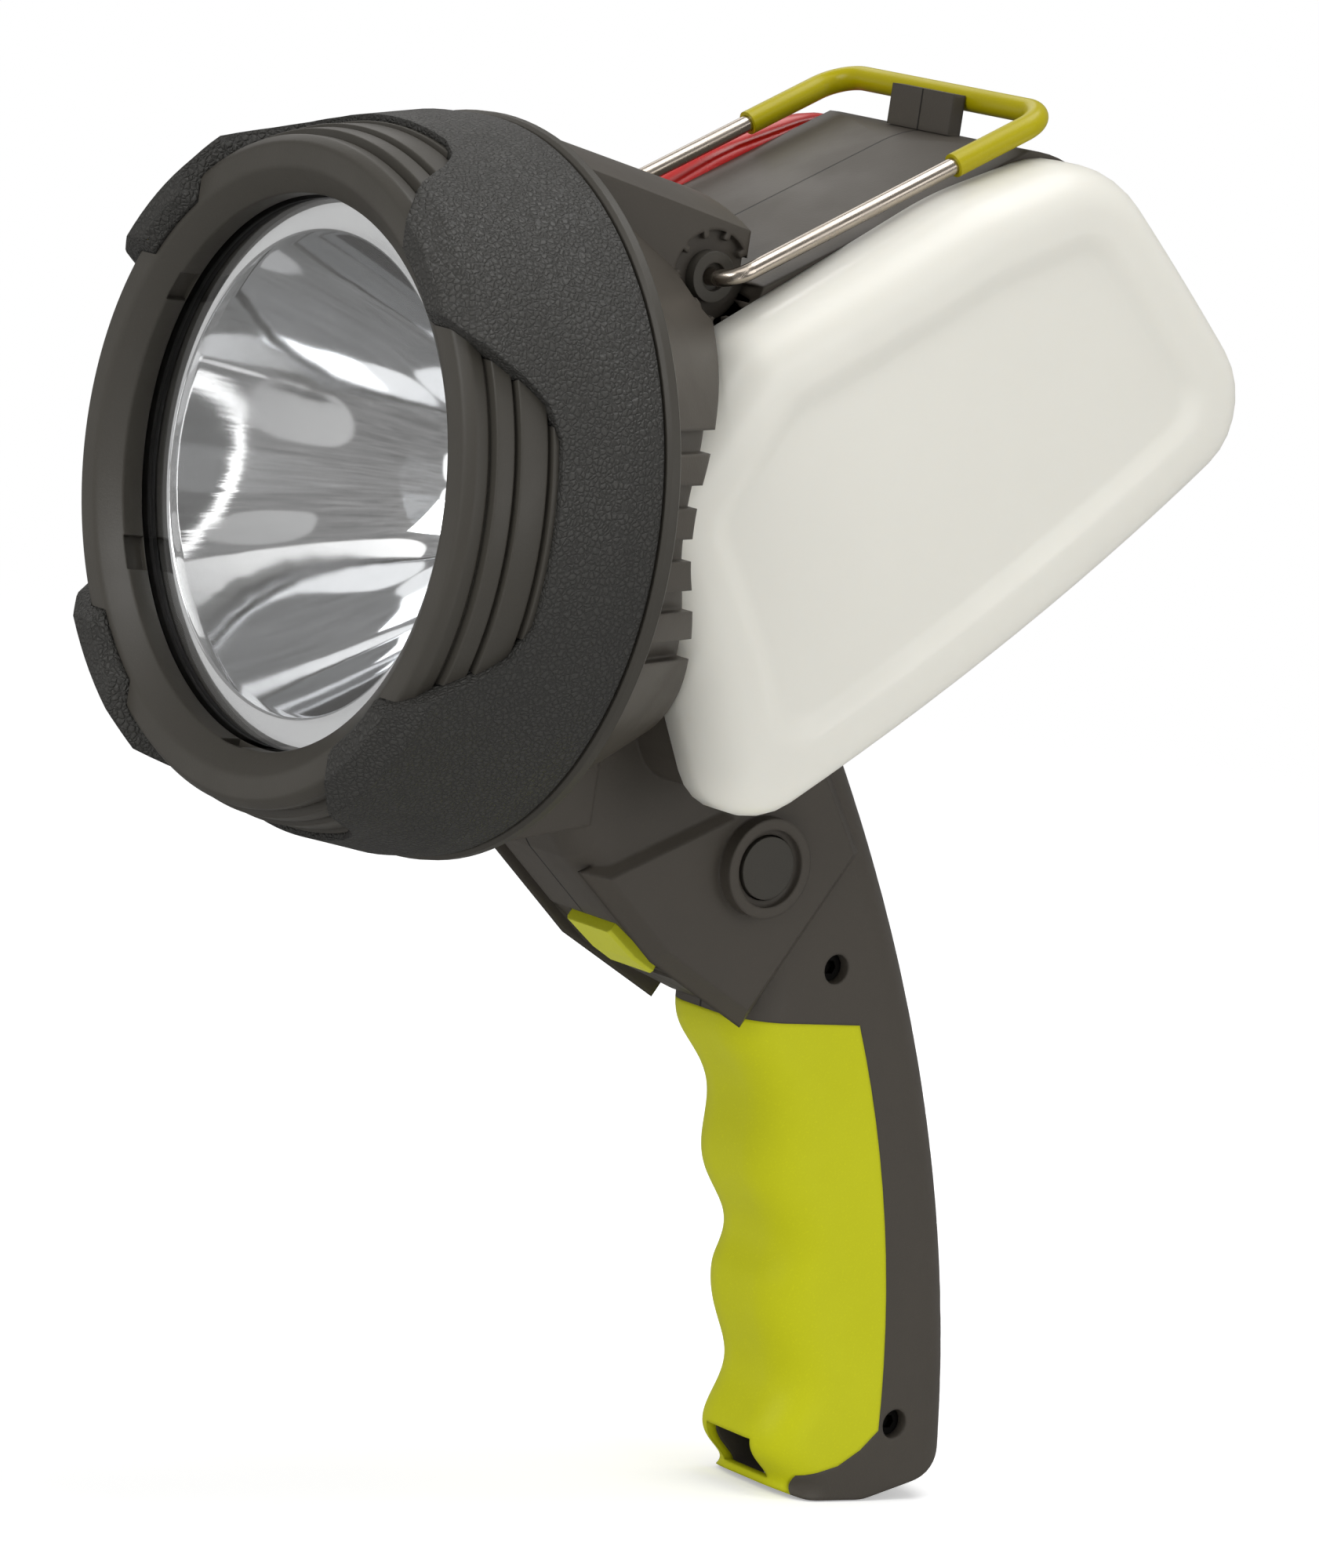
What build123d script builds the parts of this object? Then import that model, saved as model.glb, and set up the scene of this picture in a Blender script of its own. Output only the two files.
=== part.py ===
from build123d import *
import os
from math import atan2, degrees, pi, sin

os.makedirs("parts", exist_ok=True)

# A pistol-grip searchlight with side lantern covers and a folding wire bail.
# The beam points along -Y, +Z is up and the mirror plane is X = 0.
# The origin is on the beam axis, at the mouth of the bezel's straight bore.

# Clearances, how far a cutting shape runs past what it cuts, and a length past the whole part
overrun = 30.0
reach = 500.0
seat_gap = 0.2
moving_gap = 0.35
running_gap = 0.05

# Bezel: the radii of its steps, and how far back each step starts
bore_radius = 51.8
bore_length = 4.4
lip_rise = 3.5
lip_slope = 4.7
lip_width = 4.5
lip_side_lead = 1.6
lip_bevel = 2.0
first_step_y = 2.0
first_step_lead = 1.4
second_step_y = 6.5
second_step_lead = 1.3
third_step_y = 13.0
third_step_lead = 1.1
step_groove = 1.0
bezel_back_y = 36.0
bezel_wall = 2.6
lens_seat_step = 1.6
lens_seat_back_y = 11.0
notch_count = 6
notch_width = 7.0
notch_depth = 1.4

# Rubber bumper: a ring behind the steps, and four lobes that reach over the lip
bumper_front_wall = 1.3
bumper_wall = 3.6
bumper_front_y = 14.0
bumper_full_y = 28.0
bumper_back_bevel = 0.9
lobe_front_y = -6.5
lobe_shoulder_y = -1.5
lobe_overlap = 4.0
lobe_nose_width = 6.3
lobe_shoulder_lead = 3.8
lobe_inner_bevel = 2.2
window_lead = 2.0
window_front_half = 36.5
window_front_spread = 3.0
window_middle_y = 6.5
window_middle_half = 26.0
window_middle_spread = 6.0
window_corner_y = 11.5
window_corner_half = 23.0
window_back_half = 17.0

# Ring that clamps the bezel to the housing
rear_ring_lead = 0.6
rear_ring_width = 10.6
rear_ring_length = 3.2
rear_ring_bevel = 0.7

# Optics
lens_thickness = 1.8
seal_width = 1.9
seal_thickness = 0.8
reflector_flange_width = 8.0
reflector_flange = 1.5
reflector_depth = 52.0
reflector_wall = 1.2
reflector_hole_radius = 8.0
reflector_points = 8
led_board_radius = 11.0
led_board_thickness = 1.6
emitter_size = 7.0
emitter_height = 1.2
emitter_dome_radius = 2.6
sink_radius = 20.0
sink_plate = 4.0
sink_length = 18.0
sink_fin_count = 7
sink_fin_pitch = 5.6
sink_fin = 1.6

# Housing funnel, and the two flat-sided hoods that stand on it
housing_wall = 2.6
funnel_setback = 4.1
funnel_taper = 17.5
funnel_length = 33.5
funnel_wall = 4.6
hood_setback = 1.4
hood_taper = 8.0
hood_length = 41.5
hood_half_width = 26.0
chin_length = 32.5
chin_half_width = 16.0
slot_count = 5
slot_pitch = 9.8
slot_width = 4.2
slot_depth = 2.4
slot_middle_z = -1.4
funnel_cut_lead = 2.2

# Body outline seen from the side: corners as (y, z), and their radii
nose_corner = (50.0, 1.5)
front_top_corner = (69.0, 36.0)
shoulder_corner = (118.0, 66.3)
top_corner = (150.6, 79.6)
tail_corner = (204.0, 31.4)
heel_corner = (86.0, -61.0)
front_low_corner = (69.5, -29.0)
roof_front_corner = (69.0, 44.5)
roof_back_corner = (147.0, 85.4)
nose_round = 16.0
front_top_round = 14.0
shoulder_round = 80.0
top_round = 24.0
roof_round = 28.0
tail_round = 16.0
heel_round = 13.0
front_low_round = 14.0
core_half_width = 31.0
core_inset = 2.5
roof_arch_radius = 200.0

# Side lantern covers, their sunk panels and the boards behind them
cover_crown_x = 52.0
cover_dome_radius = 420.0
cover_centre = (124.0, 13.0)
cover_wall = 2.6
cover_flange = 1.5
cover_flange_width = 5.6
cover_round = 7.0
cover_inner_round = 4.0
panel_margin = 15.0
panel_depth = 1.4
light_board_margin = 14.0
light_board_thickness = 1.6
light_led_size = 5.0
light_led_height = 1.3
light_led_pitch = 17.0
light_led_rows = 3

# Handle: both edges bow, measured down from the handle's top
handle_top_z = -97.0
handle_length = 98.2
handle_half_width = 14.8
handle_round = 10.0
handle_sections = 22
front_edge_top_y = 116.5
front_rake_share = 0.50
front_bow_radius = 204.0
rear_edge_top_y = 164.2
rear_rake_share = 0.448
rear_bow_radius = 263.0
finger_pitch = 27.5
finger_depth = 4.0
first_finger_drop = 5.0
butt_front_rise = 1.6
butt_rear_rise = 7.0
butt_flat_setback = 6.5
butt_flat_length = 14.0
butt_round = 12.0
butt_rear_round = 17.0
grip_thickness = 2.2
grip_top_z = -98.6
grip_top_rear_y = 146.5
grip_middle = (163.0, -148.0)
grip_low_y = 167.5
grip_low_rise = 14.2
grip_heel_y = 158.4
grip_heel_rise = 7.0
grip_bottom_rise = 4.7
grip_corner_round = 4.0
cavity_floor = 16.2

# Neck between the funnel and the handle, with a raised plate on each side
neck_half_width = 15.5
neck_start = (56.0, -50.0)
neck_chin = (70.3, -68.1)
neck_middle = (96.0, -89.2)
neck_back = (137.5, -62.5)
neck_shoulder = (121.0, -38.0)
neck_roof_y = 110.0
neck_roof_z = -18.0
neck_round = 6.0
plateau_rise = 2.0
plateau_root = 1.2
plateau_corner = (77.5, -71.0)
plateau_ridge = (105.5, -58.2)
plateau_top = (104.0, -45.0)
plateau_shoulder = (120.0, -40.0)
plateau_rear = (136.0, -64.0)
plateau_tip = (115.6, -95.6)
plateau_front = (94.0, -84.6)
plateau_slope_degrees = 45
neck_front_edges = 3

# Bail: a wire loop with a sleeve over its crossbar, and its toothed bushes
wire_radius = 1.65
sleeve_radius = 2.4
bail_pivot = (72.9, 46.2)
bail_bar = (144.1, 84.05)
bail_half_width = 32.2
bail_bend = 7.0
bail_foot_bend = 4.8
bail_foot_x = 21.8
sleeve_leg_length = 25.0
hub_radius = 4.9
hub_rise = 0.9
hub_mouth_radius = 2.7
hub_mouth_depth = 1.2
ratchet_radius = 8.8
ratchet_depth = 1.6
ratchet_teeth = 10
ratchet_tooth_width = 1.2
ratchet_tooth_height = 1.4
bush_radius = 3.4
bush_inner_x = 20.6
hook_half_width = 9.5
hook_top_z = 84.7
hook_height = 8.0
hook_thickness = 3.0

# Mode button on the +X side, its collar, its switch and the board behind
button_centre = (113.0, -67.0)
button_radius = 6.2
button_groove_radius = 7.7
button_guide_radius = 6.5
button_groove_depth = 1.4
collar_radius = 9.9
collar_rise = 3.4
button_sink = 0.6
button_travel = 0.6
button_flange = 1.2
button_flange_radius = 8.0
switch_size = 6.0
switch_height = 4.0
switch_plunger = 1.0
switch_plunger_radius = 1.7
board_thickness = 1.6
board_length = 34.0
board_width = 19.0
board_rise = 5.5
post_radius = 2.0
post_inset = 3.0

# Trigger, drawn along the line of its own face
trigger_top = (87.0, -83.2)
trigger_tip = (99.0, -91.0)
trigger_half_width = 7.0
trigger_depth = 9.5
trigger_kink_share = 0.62
trigger_kink = 0.5
trigger_end_slope = 1.6
trigger_bevel = 0.6
trigger_side_gap = 0.4
trigger_end_gap = 1.0
recess_half_width = 12.2
recess_margin = 2.4
recess_top_depth = 2.2
recess_tip_depth = 1.8
pin_radius = 1.0
pin_inset = 2.6
pin_depth = 7.0
pin_hold = 3.0
pin_rib_half = 2.6
spring_x = 3.6
spring_y = 100.4
spring_floor_z = -82.2
spring_radius = 2.0
spring_wire_radius = 0.3
spring_turns = 6
spring_length = 8.4
web_inner_x = 0.8
web_thickness = 1.6
web_half_length = 4.0
microswitch_length = 12.8
microswitch_height = 6.5
microswitch_inner_x = -0.6
microswitch_outer_x = -6.4
microswitch_front = 11.6
microswitch_start = 3.6
microswitch_button_radius = 0.8
microswitch_button_rise = 0.7
microswitch_rib = 1.6

# Batteries and charging socket
cell_radius = 9.2
cell_length = 65.0
cell_front_y = 92.0
cell_z = 19.0
cell_spacing = 19.0
holder_plate = 2.0
holder_end = 2.0
holder_end_height = 14.0
holder_half_width = 20.0
ledge_depth = 2.0
ledge_overlap = 2.0
socket_radius = 5.5
socket_bore_radius = 3.0
socket_bore_depth = 9.0
socket_pin_radius = 1.0
socket_length = 13.0
socket_share = 0.5
pocket_backing = 4.0
pocket_margin = 2.5
flap_length = 17.0
flap_half_width = 7.0
flap_thickness = 1.8
flap_round = 2.0

# Strap slot at the foot of the grip
strap_half_width = 7.0
strap_top_rise = 10.8
strap_bottom_rise = 2.8
strap_bar_depth = 4.0
strap_depth = 12.5

# Screws that join the two housing halves
screw_head_radius = 2.7
screw_hole_radius = 3.0
screw_shank_radius = 1.45
screw_head_height = 2.4
screw_length = 20.0
screw_boss_radius = 4.6
screw_seat_inset = 5.3
hex_radius = 1.5
hex_depth = 1.4
upper_screw = (138.4, -87.5)
lower_screw_y = 171.4
lower_screw_rise = 15.5
tail_screw = (182.0, 31.0)
heel_screw = (97.0, -41.0)

# Places that follow from the sizes above
lip_inner_radius = bore_radius + lip_slope
lip_outer_radius = lip_inner_radius + lip_width
lip_side_radius = lip_outer_radius + lip_side_lead
first_step_radius = lip_side_radius + first_step_lead
second_step_radius = first_step_radius + second_step_lead
third_step_radius = second_step_radius + third_step_lead
bumper_radius = third_step_radius + bumper_wall
lobe_inner_radius = lip_outer_radius - lobe_overlap
lobe_nose_radius = lobe_inner_radius + lobe_nose_width
lobe_shoulder_radius = lobe_nose_radius + lobe_shoulder_lead
rear_ring_radius = bumper_radius + rear_ring_lead
rear_ring_inner_radius = rear_ring_radius - rear_ring_width
funnel_front_radius = rear_ring_radius - funnel_setback
funnel_back_radius = funnel_front_radius - funnel_taper
hood_front_radius = rear_ring_radius - hood_setback
hood_back_radius = hood_front_radius - hood_taper
lens_seat_radius = bore_radius + lens_seat_step
reflector_rim_radius = lens_seat_radius - reflector_flange_width
butt_z = handle_top_z - handle_length
lower_screw = (lower_screw_y, butt_z + lower_screw_rise)
ring_front_y = bezel_back_y
ring_back_y = ring_front_y + rear_ring_length
lens_back_y = bore_length + lens_thickness
rim_y = lens_back_y + seal_thickness
disc_radius = lens_seat_radius - seat_gap
funnel_back_y = ring_back_y + funnel_length
hood_back_y = ring_back_y + hood_length
neck_side_x = neck_half_width + plateau_rise
neck_inner_x = neck_half_width - housing_wall
board_x = core_half_width + light_board_thickness


def rear_edge(drop):
    return rear_edge_top_y + rear_rake_share * drop - drop * drop / (2 * rear_bow_radius)


def front_edge(drop):
    bowed = front_edge_top_y + front_rake_share * drop - drop * drop / (2 * front_bow_radius)
    turn = pi * (drop - first_finger_drop) / finger_pitch
    return bowed + finger_depth * sin(turn) ** 2


def write(part, label):
    part.label = label
    export_step(part, f"parts/{label}.step")


def body_outline():
    corners = [nose_corner, front_low_corner, heel_corner, tail_corner]
    corners += [top_corner, shoulder_corner, front_top_corner]
    rounds = [nose_round, front_low_round, heel_round, tail_round]
    rounds += [top_round, shoulder_round, front_top_round]
    FilletPolyline(*corners, radius=rounds, close=True)


def core_outline():
    corners = [nose_corner, front_low_corner, heel_corner, tail_corner, roof_back_corner, roof_front_corner]
    rounds = [nose_round, front_low_round, heel_round, tail_round, roof_round, front_top_round]
    FilletPolyline(*corners, radius=rounds, close=True)


# Bezel: a stepped plastic ring round the beam, with a bevelled lip and a bored mouth
with BuildPart() as bezel_ring:
    with BuildSketch(Plane.XY):
        with BuildLine():
            Polyline(
                (bore_radius, 0),
                (lip_inner_radius, -lip_rise),
                (lip_outer_radius, -lip_rise),
                (lip_side_radius, lip_bevel - lip_rise),
                (lip_side_radius, first_step_y - step_groove),
                (lip_side_radius - step_groove, first_step_y),
                (first_step_radius, first_step_y),
                (first_step_radius + step_groove / 2, second_step_y - step_groove),
                (first_step_radius - step_groove, second_step_y),
                (second_step_radius, second_step_y),
                (second_step_radius + step_groove / 2, third_step_y - step_groove),
                (second_step_radius - step_groove, third_step_y),
                (third_step_radius, third_step_y),
                (third_step_radius, bezel_back_y),
                (third_step_radius - bezel_wall, bezel_back_y),
                (third_step_radius - bezel_wall, third_step_y + bezel_wall),
                (lens_seat_radius, lens_seat_back_y),
                (lens_seat_radius, bore_length),
                (bore_radius, bore_length),
                close=True,
            )
        make_face()
    revolve(axis=Axis.Y)
    with BuildSketch(Plane.XZ.offset(-bore_length)):
        with PolarLocations(bore_radius, notch_count, start_angle=degrees(atan2(1, 2))):
            Rectangle(2 * notch_depth, notch_width)
    extrude(amount=lip_rise, mode=Mode.SUBTRACT)
write(bezel_ring.part, "bezel_ring")

# The window between two lobes, seen along +X: it opens towards the front and outwards
with BuildPart() as lobe_window:
    for height, front_spread, middle_spread in (
        (lobe_inner_radius, 0, 0),
        (bumper_radius + window_lead, window_front_spread, window_middle_spread),
    ):
        with BuildSketch(Plane.YZ.offset(height)):
            with BuildLine():
                Polyline(
                    (lobe_front_y - overrun, window_front_half + front_spread),
                    (lobe_front_y, window_front_half + front_spread),
                    (window_middle_y, window_middle_half + middle_spread),
                    (window_corner_y, window_corner_half),
                    (bumper_front_y, window_back_half),
                    (bumper_front_y, -window_back_half),
                    (window_corner_y, -window_corner_half),
                    (window_middle_y, -window_middle_half - middle_spread),
                    (lobe_front_y, -window_front_half - front_spread),
                    (lobe_front_y - overrun, -window_front_half - front_spread),
                    close=True,
                )
            make_face()
    loft(ruled=True)
    extrude(faces().sort_by(Axis.X)[0], amount=overrun)

# Rubber bumper, moulded onto the bezel
with BuildPart() as rubber_bumper:
    with BuildSketch(Plane.XY):
        with BuildLine():
            Polyline(
                (lobe_inner_radius, lobe_front_y + lobe_inner_bevel),
                (lobe_inner_radius + lobe_inner_bevel, lobe_front_y),
                (lobe_nose_radius, lobe_front_y),
                (lobe_shoulder_radius, lobe_shoulder_y),
                (third_step_radius + bumper_front_wall, bumper_front_y),
                (bumper_radius, bumper_full_y),
                (bumper_radius, bezel_back_y - bumper_back_bevel),
                (bumper_radius - bumper_back_bevel, bezel_back_y),
                (third_step_radius - bezel_wall / 2, bezel_back_y),
                (third_step_radius - bezel_wall / 2, third_step_y + bezel_wall),
                (lip_side_radius - step_groove, lens_seat_back_y),
                (lip_outer_radius, -lip_rise / 2),
                (lobe_inner_radius, -lip_rise / 2),
                close=True,
            )
        make_face()
    revolve(axis=Axis.Y)
    add(bezel_ring.part, mode=Mode.SUBTRACT)
    for quarter in range(4):
        add(lobe_window.part.rotate(Axis.Y, quarter * 90), mode=Mode.SUBTRACT)
write(rubber_bumper.part, "rubber_bumper")

# Clamp ring between the bezel and the housing
with BuildPart() as rear_ring:
    with BuildSketch(Plane.XY):
        with BuildLine():
            Polyline(
                (rear_ring_inner_radius, ring_front_y),
                (rear_ring_radius - rear_ring_bevel, ring_front_y),
                (rear_ring_radius, ring_front_y + rear_ring_bevel),
                (rear_ring_radius, ring_back_y - rear_ring_bevel),
                (rear_ring_radius - rear_ring_bevel, ring_back_y),
                (rear_ring_inner_radius, ring_back_y),
                close=True,
            )
        make_face()
    revolve(axis=Axis.Y)
write(rear_ring.part, "rear_ring")

# Lens, its seal and the reflector, one behind the other in the bezel's seat
with BuildPart() as front_lens:
    with BuildSketch(Plane.XZ.offset(-lens_back_y)):
        Circle(disc_radius)
    extrude(amount=lens_thickness)
write(front_lens.part, "front_lens")

with BuildPart() as lens_seal:
    with BuildSketch(Plane.XZ.offset(-rim_y)):
        Circle(disc_radius)
        Circle(disc_radius - seal_width, mode=Mode.SUBTRACT)
    extrude(amount=seal_thickness)
write(lens_seal.part, "lens_seal")

bowl_radii = [
    reflector_rim_radius + (reflector_hole_radius - reflector_rim_radius) * step / reflector_points
    for step in range(reflector_points + 1)
]
bowl_curve = [(r, rim_y + reflector_depth * (1 - (r / reflector_rim_radius) ** 2)) for r in bowl_radii]
bowl_back = [(r + reflector_wall, y + reflector_wall) for r, y in bowl_curve]
board_front_y = bowl_back[-1][1]
with BuildPart() as reflector:
    with BuildSketch(Plane.XY):
        with BuildLine():
            Spline(*bowl_curve)
            Line(bowl_curve[-1], bowl_back[-1])
            Spline(*bowl_back)
            Line(bowl_back[0], bowl_curve[0])
        make_face()
    revolve(axis=Axis.Y)
    with BuildSketch(Plane.XZ.offset(-rim_y)):
        Circle(disc_radius)
        Circle(reflector_rim_radius, mode=Mode.SUBTRACT)
    extrude(amount=-reflector_flange)
write(reflector.part, "reflector")

# Light source on its round board, and the finned sink behind it
board_back_y = board_front_y + led_board_thickness
with BuildPart() as led_board:
    with BuildSketch(Plane.XZ.offset(-board_back_y)):
        Circle(led_board_radius)
    extrude(amount=led_board_thickness)
write(led_board.part, "led_board")

with BuildPart() as led_emitter:
    with BuildSketch(Plane.XZ.offset(-board_front_y)):
        Rectangle(emitter_size, emitter_size)
    extrude(amount=emitter_height)
    with Locations((0, board_front_y - emitter_height, 0)):
        Sphere(emitter_dome_radius)
    split(bisect_by=Plane.XZ.offset(-board_front_y), keep=Keep.TOP)
write(led_emitter.part, "led_emitter")

with BuildPart() as heat_sink:
    with BuildSketch(Plane.XZ.offset(-board_back_y)):
        Circle(sink_radius)
    extrude(amount=-sink_plate)
    with BuildSketch(Plane.XZ.offset(-board_back_y - sink_plate)):
        with GridLocations(sink_fin_pitch, 0, sink_fin_count, 1):
            Rectangle(sink_fin, 2 * sink_radius)
        Circle(sink_radius, mode=Mode.INTERSECT)
    extrude(amount=-(sink_length - sink_plate))
write(heat_sink.part, "heat_sink")

# The roof rises in an arch along its slope, and the butt follows the two edges of the handle
roof_run = Vector(0, roof_back_corner[0] - roof_front_corner[0], roof_back_corner[1] - roof_front_corner[1])
roof_along = roof_run.normalized()
roof_normal = Vector(0, -roof_along.Z, roof_along.Y)
roof_point = Vector(0, *roof_front_corner) - roof_normal * core_inset
roof_plane = Plane(origin=roof_point, x_dir=(1, 0, 0), z_dir=-roof_along)
handle_plane = Plane.XY.offset(handle_top_z)
neck_rise = neck_roof_z - handle_top_z
butt_front_y = front_edge(handle_length)
butt_rear_y = rear_edge(handle_length)
butt_flat_front_y = butt_front_y + butt_flat_setback
strap_bar_back_y = butt_front_y + strap_bar_depth
strap_top_z = butt_z + strap_top_rise
strap_bottom_z = butt_z + strap_bottom_rise
grip_low = (grip_low_y, butt_z + grip_low_rise)
grip_bottom_z = butt_z + grip_bottom_rise


# Each outer shape of the housing is drawn full, and again less its wall for the hollow
def funnel_solid(inset):
    with BuildPart() as solid:
        with BuildSketch(Plane.XY):
            with BuildLine():
                Polyline(
                    (0, ring_back_y),
                    (funnel_front_radius - inset, ring_back_y),
                    (funnel_back_radius - inset, funnel_back_y - inset),
                    (0, funnel_back_y - inset),
                    close=True,
                )
            make_face()
        revolve(axis=Axis.Y)
    return solid.part


def hood_solid(inset):
    with BuildPart() as solid:
        with BuildSketch(Plane.XY):
            with BuildLine():
                Polyline(
                    (0, ring_back_y),
                    (hood_front_radius - inset, ring_back_y),
                    (hood_back_radius - inset, hood_back_y - inset),
                    (0, hood_back_y - inset),
                    close=True,
                )
            make_face()
        revolve(axis=Axis.Y)
        with BuildSketch(Plane.XZ.offset(-ring_back_y)):
            Rectangle(2 * (hood_half_width - inset), hood_front_radius, align=(Align.CENTER, Align.MIN))
        with BuildSketch(Plane.XZ.offset(-ring_back_y)):
            Rectangle(2 * (chin_half_width - inset), hood_front_radius, align=(Align.CENTER, Align.MAX))
        extrude(amount=-hood_length, mode=Mode.INTERSECT)
        with BuildSketch(Plane.XZ.offset(inset - ring_back_y - chin_length)):
            Rectangle(2 * chin_half_width, hood_front_radius, align=(Align.CENTER, Align.MAX))
        extrude(amount=-hood_length, mode=Mode.SUBTRACT)
    return solid.part


def side_cut(inset):
    with BuildPart() as solid:
        for side in (-1, 1):
            with BuildSketch(Plane.YZ.offset(side * (core_half_width - inset))):
                with BuildLine():
                    body_outline()
                make_face()
                offset(amount=funnel_cut_lead + inset)
            extrude(amount=side * funnel_front_radius)
    return solid.part


def core_solid(inset):
    with BuildPart() as solid:
        with BuildSketch(Plane.YZ):
            with BuildLine():
                core_outline()
            make_face()
            offset(amount=-core_inset - inset)
        extrude(amount=core_half_width - inset, both=True)
        with BuildSketch(roof_plane):
            with Locations((0, -roof_arch_radius)):
                Circle(roof_arch_radius - inset)
        extrude(amount=2 * roof_arch_radius, both=True, mode=Mode.INTERSECT)
    return solid.part


def neck_solid(inset):
    with BuildPart() as solid:
        with BuildSketch(Plane.YZ):
            with BuildLine():
                Polyline(
                    (neck_start[0] + inset, neck_roof_z),
                    (neck_start[0] + inset, neck_start[1] + inset),
                    (neck_chin[0] + inset, neck_chin[1] + inset),
                    (neck_middle[0] + inset, neck_middle[1] + inset),
                    (front_edge(0), handle_top_z + inset),
                    (neck_back[0] - inset, neck_back[1]),
                    (neck_shoulder[0] - inset, neck_shoulder[1]),
                    (neck_roof_y, neck_roof_z),
                    close=True,
                )
            make_face()
        extrude(amount=neck_half_width - inset, both=True)
        sides = solid.edges().filter_by(Axis.X, reverse=True).sort_by(neck_inward)
        fillet(sides[: 2 * neck_front_edges], radius=neck_round - inset)
    return solid.part


def handle_solid(inset, length):
    with BuildPart() as solid:
        for step in range(handle_sections + 1):
            drop = (length + neck_rise) * step / handle_sections - neck_rise
            front = front_edge(drop) + inset
            rear = rear_edge(drop) - inset
            with BuildSketch(handle_plane.offset(-drop)):
                with Locations((0, (front + rear) / 2)):
                    RectangleRounded(2 * (handle_half_width - inset), rear - front, handle_round - inset)
        loft()
    return solid.part


# Slots in the funnel's sides, behind the rear ring
with BuildPart() as funnel_slots:
    with BuildSketch(Plane.XZ.offset(-ring_back_y)):
        with Locations((0, slot_middle_z)):
            with GridLocations(0, slot_pitch, 1, slot_count):
                Rectangle(2 * funnel_front_radius, slot_width)
    extrude(amount=-funnel_length)
    add(funnel_solid(slot_depth), mode=Mode.SUBTRACT)

# The butt's rounded foot, as a region that the handle's loft is cut to
with BuildPart() as butt_region:
    with BuildSketch(Plane.YZ):
        with BuildLine():
            FilletPolyline(
                (neck_start[0], neck_roof_z + overrun),
                (neck_start[0], butt_z + butt_front_rise),
                (butt_front_y, butt_z + butt_front_rise),
                (butt_flat_front_y, butt_z),
                (butt_flat_front_y + butt_flat_length, butt_z),
                (butt_rear_y, butt_z + butt_rear_rise),
                (butt_rear_y, neck_roof_z + overrun),
                radius=[0, 0, 0, butt_round, butt_round, butt_rear_round, 0],
                close=True,
            )
        make_face()
    extrude(amount=handle_half_width, both=True)

with BuildPart() as whole_handle:
    add(handle_solid(0, handle_length))
    add(butt_region.part, mode=Mode.INTERSECT)

# Strap slot: in at the grip's front, and out through its foot behind a bar
with BuildPart() as strap_slot:
    with BuildSketch(Plane.YZ):
        with BuildLine():
            Polyline(
                (neck_start[0], strap_top_z),
                (butt_front_y + strap_depth, strap_top_z),
                (butt_front_y + strap_depth, butt_z - overrun),
                (strap_bar_back_y, butt_z - overrun),
                (strap_bar_back_y, strap_bottom_z),
                (neck_start[0], strap_bottom_z),
                close=True,
            )
        make_face()
    extrude(amount=strap_half_width, both=True)

# Soft grip: a flush skin over the front of the handle, ending in a curve before its rear edge
with BuildPart() as soft_grip:
    with BuildSketch(Plane.YZ):
        with BuildLine():
            Spline((grip_top_rear_y, grip_top_z), grip_middle, grip_low)
            Polyline(
                grip_low,
                (grip_low[0] - grip_corner_round, grip_low[1] - grip_corner_round),
                (grip_heel_y, butt_z + grip_heel_rise),
                (strap_bar_back_y, grip_bottom_z),
                (strap_bar_back_y, grip_bottom_z - overrun),
                (neck_start[0], grip_bottom_z - overrun),
                (neck_start[0], grip_top_z),
                (grip_top_rear_y, grip_top_z),
            )
        make_face()
    extrude(amount=handle_half_width, both=True)
    add(whole_handle.part, mode=Mode.INTERSECT)
    add(handle_solid(grip_thickness, handle_length), mode=Mode.SUBTRACT)
    add(strap_slot.part, mode=Mode.SUBTRACT)
write(soft_grip.part, "soft_grip")

# Planes that the trigger, the socket and the bail are drawn on
face_run = Vector(0, trigger_tip[0] - trigger_top[0], trigger_tip[1] - trigger_top[1])
face_length = face_run.length
trigger_plane = Plane(origin=(0, *trigger_top), x_dir=face_run, z_dir=(1, 0, 0))
neck_inward = Axis(origin=(0, 0, 0), direction=trigger_plane.y_dir)
slope_run = Vector(0, tail_corner[0] - roof_back_corner[0], tail_corner[1] - roof_back_corner[1])
slope_normal = Vector(0, -slope_run.Z, slope_run.Y).normalized()
slope_point = Vector(0, *roof_back_corner) + slope_run * socket_share - slope_normal * core_inset
socket_plane = Plane(origin=slope_point, x_dir=(1, 0, 0), z_dir=slope_normal)
bail_run = Vector(0, bail_bar[0] - bail_pivot[0], bail_bar[1] - bail_pivot[1])
bail_length = bail_run.length
bail_plane = Plane(origin=(0, *bail_pivot), x_dir=(1, 0, 0), z_dir=Vector(0, -bail_run.Z, bail_run.Y))

# Depths across the neck, from the mirror plane outwards
screw_seat_x = neck_half_width - screw_seat_inset
flange_outer_x = neck_inner_x - moving_gap
flange_inner_x = flange_outer_x - button_flange
board_outer_x = flange_inner_x - button_travel - moving_gap - switch_plunger - switch_height
collar_x = neck_side_x + collar_rise
recess_floor_x = hood_half_width - ratchet_depth
window_half_width = trigger_half_width + trigger_side_gap
pin_half_length = window_half_width + pin_hold
screws = [upper_screw, lower_screw, tail_screw, heel_screw]

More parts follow.
